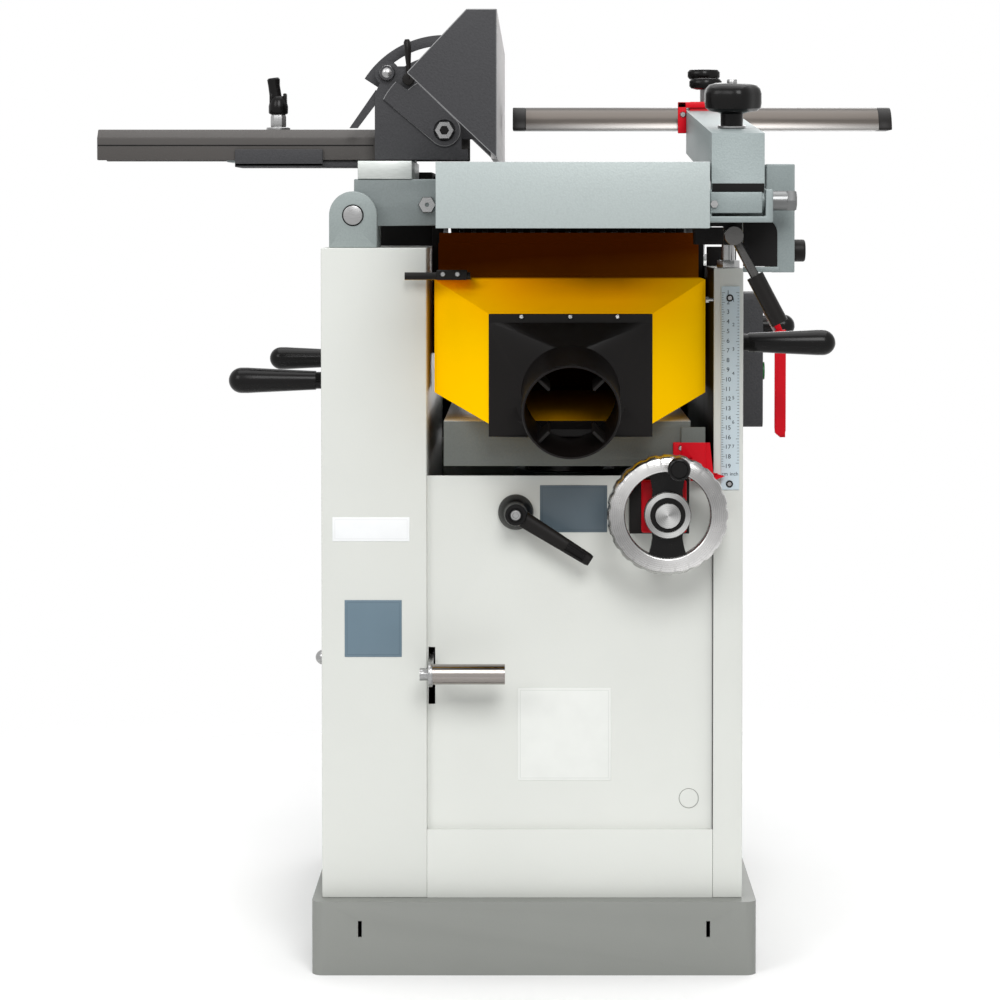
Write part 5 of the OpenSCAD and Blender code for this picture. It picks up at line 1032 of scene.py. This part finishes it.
# A dark web behind the mount's cut-out, as painted shade.
made_of("guard_mount_hollow", "guard_mount", DARK,
        (prism, [(HOLLOW_LEFT, HOLLOW_LOW), (HOLLOW_RIGHT, HOLLOW_LOW)]
         + arc(HOLLOW_RIGHT - HOLLOW_R, HOLLOW_LOW + 32, HOLLOW_R, 0, 90)
         + [(HOLLOW_LEFT, HOLLOW_LOW + 32 + HOLLOW_R)], HOLLOW_BACK - 1, HOLLOW_BACK))
made_of("guard_mount_sill", "guard_mount", ARM_GREY,
        (brick, (HOLLOW_LEFT, HOLLOW_BACK - 2.2, MOUNT.z0 + 0.3),
         (HOLLOW_RIGHT + 2, HOLLOW_BACK + 1.2, HOLLOW_LOW - 0.4), 0.8))
screws("guard_fork_bolt", "guard_mount", [(MOUNT.x0 + 4.8, FORK_FACE, FORK_TOP - 11.6)], 4.2, 3.0,
       FRONT, 6, 0.9)
screws("guard_clip_screw", "guard_clip", [(CLIP_LEFT + 5.5, CLIP_FACE, CLIP.z0 + 22)], 3.6, 2.4)

# Dark flanges inside the columns' rear edges, and a dark cover over the gap beside the right column, as painted
# shade inside the cabinet
FLANGE_Y, COVER_Y = (COLUMN.y1 - 17, COLUMN.y1 - 14), COLUMN.y0 + 135
made_of("column_rear_flanges", "left_column", DARK,
        (brick, (PANEL.x0, FLANGE_Y[0], PANEL.z1), (PANEL.x0 + 15, FLANGE_Y[1], LEFT_COLUMN.z1 - 1), 0.4),
        (brick, (PANEL.x1 - 19, FLANGE_Y[0], PANEL.z1), (PANEL.x1, FLANGE_Y[1], COLUMN.z1 - 1), 0.4))
made_of("column_inner_cover", "right_column", DARK,
        (brick, (COLUMN.x0 + 0.4, COVER_Y, COLUMN.z1 - 0.2),
         (COLUMN.x1 + 1.5, COVER_Y + 3, LEFT_COLUMN.z1), 0.5))

# Slide block under the fence bar, with a front lip that stops short of the tilt bracket
SLIDE_LEFT, SLIDE_UNDER, LIP_RIGHT, LIP_FACE = SLIDE.x0 + 148, SLIDE.z0 - 7.5, SLIDE.x1 - 156, SLIDE.y0 - 4.2
made_of("fence_bar_seam", "fence_bar", DARK,
        (brick, (SLIDE.x0 + 0.5, SLIDE.y0 - 0.4, SLIDE.z0 + 15.2),
         (SLIDE.x1 - 102, SLIDE.y0 + 0.2, SLIDE.z0 + 16.4)))
made_of("fence_slide_block", "fence_base", CHARCOAL,
        (brick, (SLIDE_LEFT, SLIDE.y0 + 4, SLIDE_UNDER), (SLIDE.x1 - 117, SLIDE.y1 - 4, SLIDE.z0 - 0.4), 1.0),
        (brick, (SLIDE_LEFT, LIP_FACE, SLIDE_UNDER + 0.5), (LIP_RIGHT, SLIDE.y0 - 0.7, SLIDE.z0 + 11.6), 0.9),
        (brick, (SLIDE_LEFT, LIP_FACE, SLIDE_UNDER), (LIP_RIGHT, SLIDE.y0 + 6, SLIDE.z0 - 3), 0.9))

# Tilting lobe of the fence casting round its pivot
LOBE_R, LOBE_CLEAR, LOBE_HUB, LOBE_BORE, LOBE_EDGE = 73.0, 58.0, 17.0, 11.6, 0.9
LOBE_SIDES, LOBE_LEVER = (46.9, 229.5), 135
LOBE_BACK, LOBE_FACE = BRACKET_FACE + 0.1, BRACKET_FACE - 2.9
# Depth of each ring, and how far it lies inside the edge; None is the bore
LOBE_ROWS = ((LOBE_BACK, 0), (LOBE_FACE + LOBE_EDGE, 0), (LOBE_FACE, LOBE_EDGE), (LOBE_FACE, None),
             (LOBE_BACK, None))


def lobe_reach(turn):
    """Reach of the lobe at a bearing: its hub, two straight sides, and an arc clear of the lever."""
    if not LOBE_SIDES[0] < turn < LOBE_SIDES[1]:
        return LOBE_HUB
    lean = max(math.cos(math.radians(turn - side)) for side in LOBE_SIDES)
    return min(LOBE_R if turn >= LOBE_LEVER else LOBE_CLEAR, LOBE_HUB / max(lean, 0.01))


def lobe_spot(turn, y, inset):
    reach = LOBE_BORE if inset is None else lobe_reach(turn) - inset
    return TILT_X + reach * math.cos(math.radians(turn)), y, TILT_Z + reach * math.sin(math.radians(turn))


def fence_lobe(shape):
    loft(shape, [ring(shape, [lobe_spot(turn, *row) for turn in range(0, 360, 3)]) for row in LOBE_ROWS], True)


def highlit_edge(c, way):
    """Picks the rounded front edges of a casting, which get a painted highlight."""
    return 0.25 < -way.y < 0.96


PIECE["fence_tilt_lobe"] = made_of("fence_tilt_lobe", "fence_ends", CHARCOAL, (fence_lobe,))
# Painted highlight on the rounded front edges of the lobe and the fence ends.
for casting in ("fence_tilt_lobe", "fence_ends"):
    repaint(PIECE[casting], EDGE_HIGHLIGHT, highlit_edge)
BRACE = ((-27, 0.6), (-18.5, 0.6), (9, 37), (1, 41))
made_of("tilt_bracket_brace", "tilt_bracket", CHARCOAL,
        (prism, [(BRACKET.x0 + along, SLIDE.z1 + up) for along, up in BRACE], BRACKET.y0 + 9, BRACKET.y0 + 16))

# Slim tilt lever on its round foot
FOOT_R = LEVER.x - LEVER.x0
FOOT_Z = LEVER.z0 + FOOT_R
LEVER_PATH = ((0, FOOT_Z, 2.6), (0, FOOT_Z + 14, 2.4), (-0.8, LEVER.z1 - 12, 3.8), (-1.4, LEVER.z1 - 3, 3.8),
              (-1.6, LEVER.z1, 2.4))
made_of("tilt_lever_blade", "tilt_lever", BLACK,
        (lathe, rounded_end(FOOT_R, LEVER.y0 + 4, LEVER.y1, 1.2), (LEVER.x, 0, FOOT_Z), BACK, 32),
        (tube, [(LEVER.x + aside, LEVER.y, z) for aside, z, radius in LEVER_PATH],
         [radius for aside, z, radius in LEVER_PATH], 20, 1.3), stands_for=("tilt_lever",))

# Upright clamp on the fence bar: washer, nut and winged grip
CLAMP = Box("fence_clamp")
WASHER_R, WASHER_T, CLAMP_NUT_R, CLAMP_NUT_H, STUD_R = 13.0, 3.0, 8.4, 14.0, 6
GRIP_R, GRIP_H, GRIP_WING = 10.6, 20.0, 7.4
CLAMP_AT = Vector((CLAMP.x1 - WASHER_R, CLAMP.y, SLIDE.z1))
NUT_AT = CLAMP_AT + Vector((0, 0, WASHER_T))
GRIP_AT = NUT_AT + Vector((0, 0, CLAMP_NUT_H))
GRIP_PATH = ((-1, 8, 6.4), (-3, 20, 6.6), (-4.6, 31, 6.4), (-5.2, 38, 7.0), (-5.4, 39.6, 5.6))
made_of("fence_clamp_metal", "fence_clamp", STEEL,
        (lathe, [(STUD_R, CLAMP.z0 - CLAMP_AT.z), (STUD_R, 0.2), (WASHER_R - 0.5, 0.2), (WASHER_R, 0.7),
                 (WASHER_R, WASHER_T - 0.5), (WASHER_R - 0.5, WASHER_T), (STUD_R, WASHER_T)], CLAMP_AT, UP),
        (hex_nut, NUT_AT, UP, CLAMP_NUT_R, CLAMP_NUT_H, 4))
made_of("fence_clamp_grip", "fence_clamp", GLOSS_BLACK,
        (lathe, [(8.2, 0), (GRIP_R - 0.6, 1.0), (GRIP_R, 2.2), (GRIP_R, 9), (GRIP_R - 1.4, 15),
                 (GRIP_R - 3.4, GRIP_H - 1), (GRIP_R - 4.6, GRIP_H)], GRIP_AT, UP),
        (tube, [GRIP_AT + Vector((aside, 0, up)) for aside, up, radius in GRIP_PATH],
         [radius for aside, up, radius in GRIP_PATH], 28, 0.8),
        *((brick, GRIP_AT + Vector((wing - 2, -5, 6)), GRIP_AT + Vector((wing + 2, 5, 23)), 1.4)
          for wing in (-GRIP_WING, GRIP_WING)), stands_for=("fence_clamp",))

# Rolled side of the stop flap
FLAP = Box("stop_flap")
FLAP_SIDE, RIM_X, RIM_TOP = FLAP.y0 - 0.1, FLAP.x1 - 6.4, FLAP.z1 - 32
made_of("stop_flap_rim", "stop_flap", RED,
        (prism, [(RIM_X - 0.4, RIM_TOP)] + arc(RIM_X, FLAP.z0 + 8.4, 6.2, 180, 360) + [(RIM_X + 6.2, RIM_TOP)],
         FLAP_SIDE - 2.5, FLAP_SIDE),
        (prism, [(RIM_X - 6.4, RIM_TOP - 1)] + arc(RIM_X - 3, FLAP.z0 + 11, 3.4, 180, 250, 4)
         + [(RIM_X, FLAP.z0 + 13), (RIM_X, RIM_TOP - 1)], FLAP_SIDE - 1.9, FLAP_SIDE))


# Studio: pale floor, white backdrop that only the camera and reflections see, and soft light
FLOOR_HALF, FLOOR_FADE = 12.0, (620, 1500)
AMBIENT = 0.45
LOOK_DOWN = math.radians(2.0)


def floor_finish():
    """Plain matte paper that thins out to nothing well away from the object."""
    f = Finish("studio_floor", 0.0)
    made = f.wear(colour=f.mix(f.noise(3, 2), linear(251, 251, 251), linear(255, 255, 255)), rough=0.95)
    x, y = f.axis("X"), f.axis("Y")
    fade = f.span(f.math("SQRT", x * x + y * y), *FLOOR_FADE)
    fade.socket.node.interpolation_type = "SMOOTHSTEP"
    both = f.add("ShaderNodeMixShader", inputs={0: fade, 1: Value(f, f.shader.outputs["BSDF"]),
                                                2: f.add("ShaderNodeBsdfTransparent")})
    f.put(f.tree.nodes["Material Output"].inputs["Surface"], both)
    return made


def studio():
    shape = bmesh.new()
    bmesh.ops.create_grid(shape, x_segments=1, y_segments=1, size=FLOOR_HALF)
    floor = linked("floor", into_mesh("floor", shape))
    floor.data.materials.append(floor_finish())
    world = bpy.data.worlds.new("studio")
    bpy.context.scene.world = world
    world.use_nodes = True
    net = Net(world.node_tree)
    world.node_tree.nodes.remove(world.node_tree.nodes["Background"])
    rays = seen = net.add("ShaderNodeLightPath", output="Is Camera Ray")
    for kind in ("Is Glossy Ray", "Is Transmission Ray"):
        seen = net.math("MAXIMUM", seen, rays.part(kind))
    lit, white = [net.add("ShaderNodeBackground", inputs={"Color": (1, 1, 1, 1), "Strength": strength})
                  for strength in (AMBIENT, 1.0)]
    net.put(world.node_tree.nodes["World Output"].inputs["Surface"],
            net.add("ShaderNodeMixShader", inputs={0: seen, 1: lit, 2: white}))


def softbox(name, place, aim, size, power):
    data = bpy.data.lights.new(name, "AREA")
    data.shape = "RECTANGLE"
    data.size = data.size_y = size
    data.energy = power
    lamp = linked(name, data)
    lamp.location = place
    lamp.rotation_mode = "QUATERNION"
    lamp.rotation_quaternion = (Vector(aim) - Vector(place)).to_track_quat("-Z", "Y")


studio()
softbox("key", (-2.2, -3.0, 2.6), (0, 0, 0.6), 1.6, 34)
softbox("front", (0.5, -3.4, 2.75), (0, 0, 0.5), 1.6, 78)
softbox("top", (0, 0.2, 3.4), (0, 0, 0.8), 3.0, 62)
softbox("back", (1.4, 3.4, 1.6), (0, 0, 0.5), 2.4, 30)

lens = bpy.data.cameras.new("photo_camera")
lens.sensor_width = 36.0
lens.lens = 107.588
lens.shift_x = -0.0335
lens.shift_y = -0.1795
lens.clip_start = 0.1
lens.clip_end = 60
camera = linked("photo_camera", lens)
camera.location = (-0.000534, -3.395069, 0.791095)
camera.rotation_euler = (math.pi / 2 - LOOK_DOWN, 0, 0)
bpy.context.scene.camera = camera
bpy.context.scene.view_settings.view_transform = "Standard"
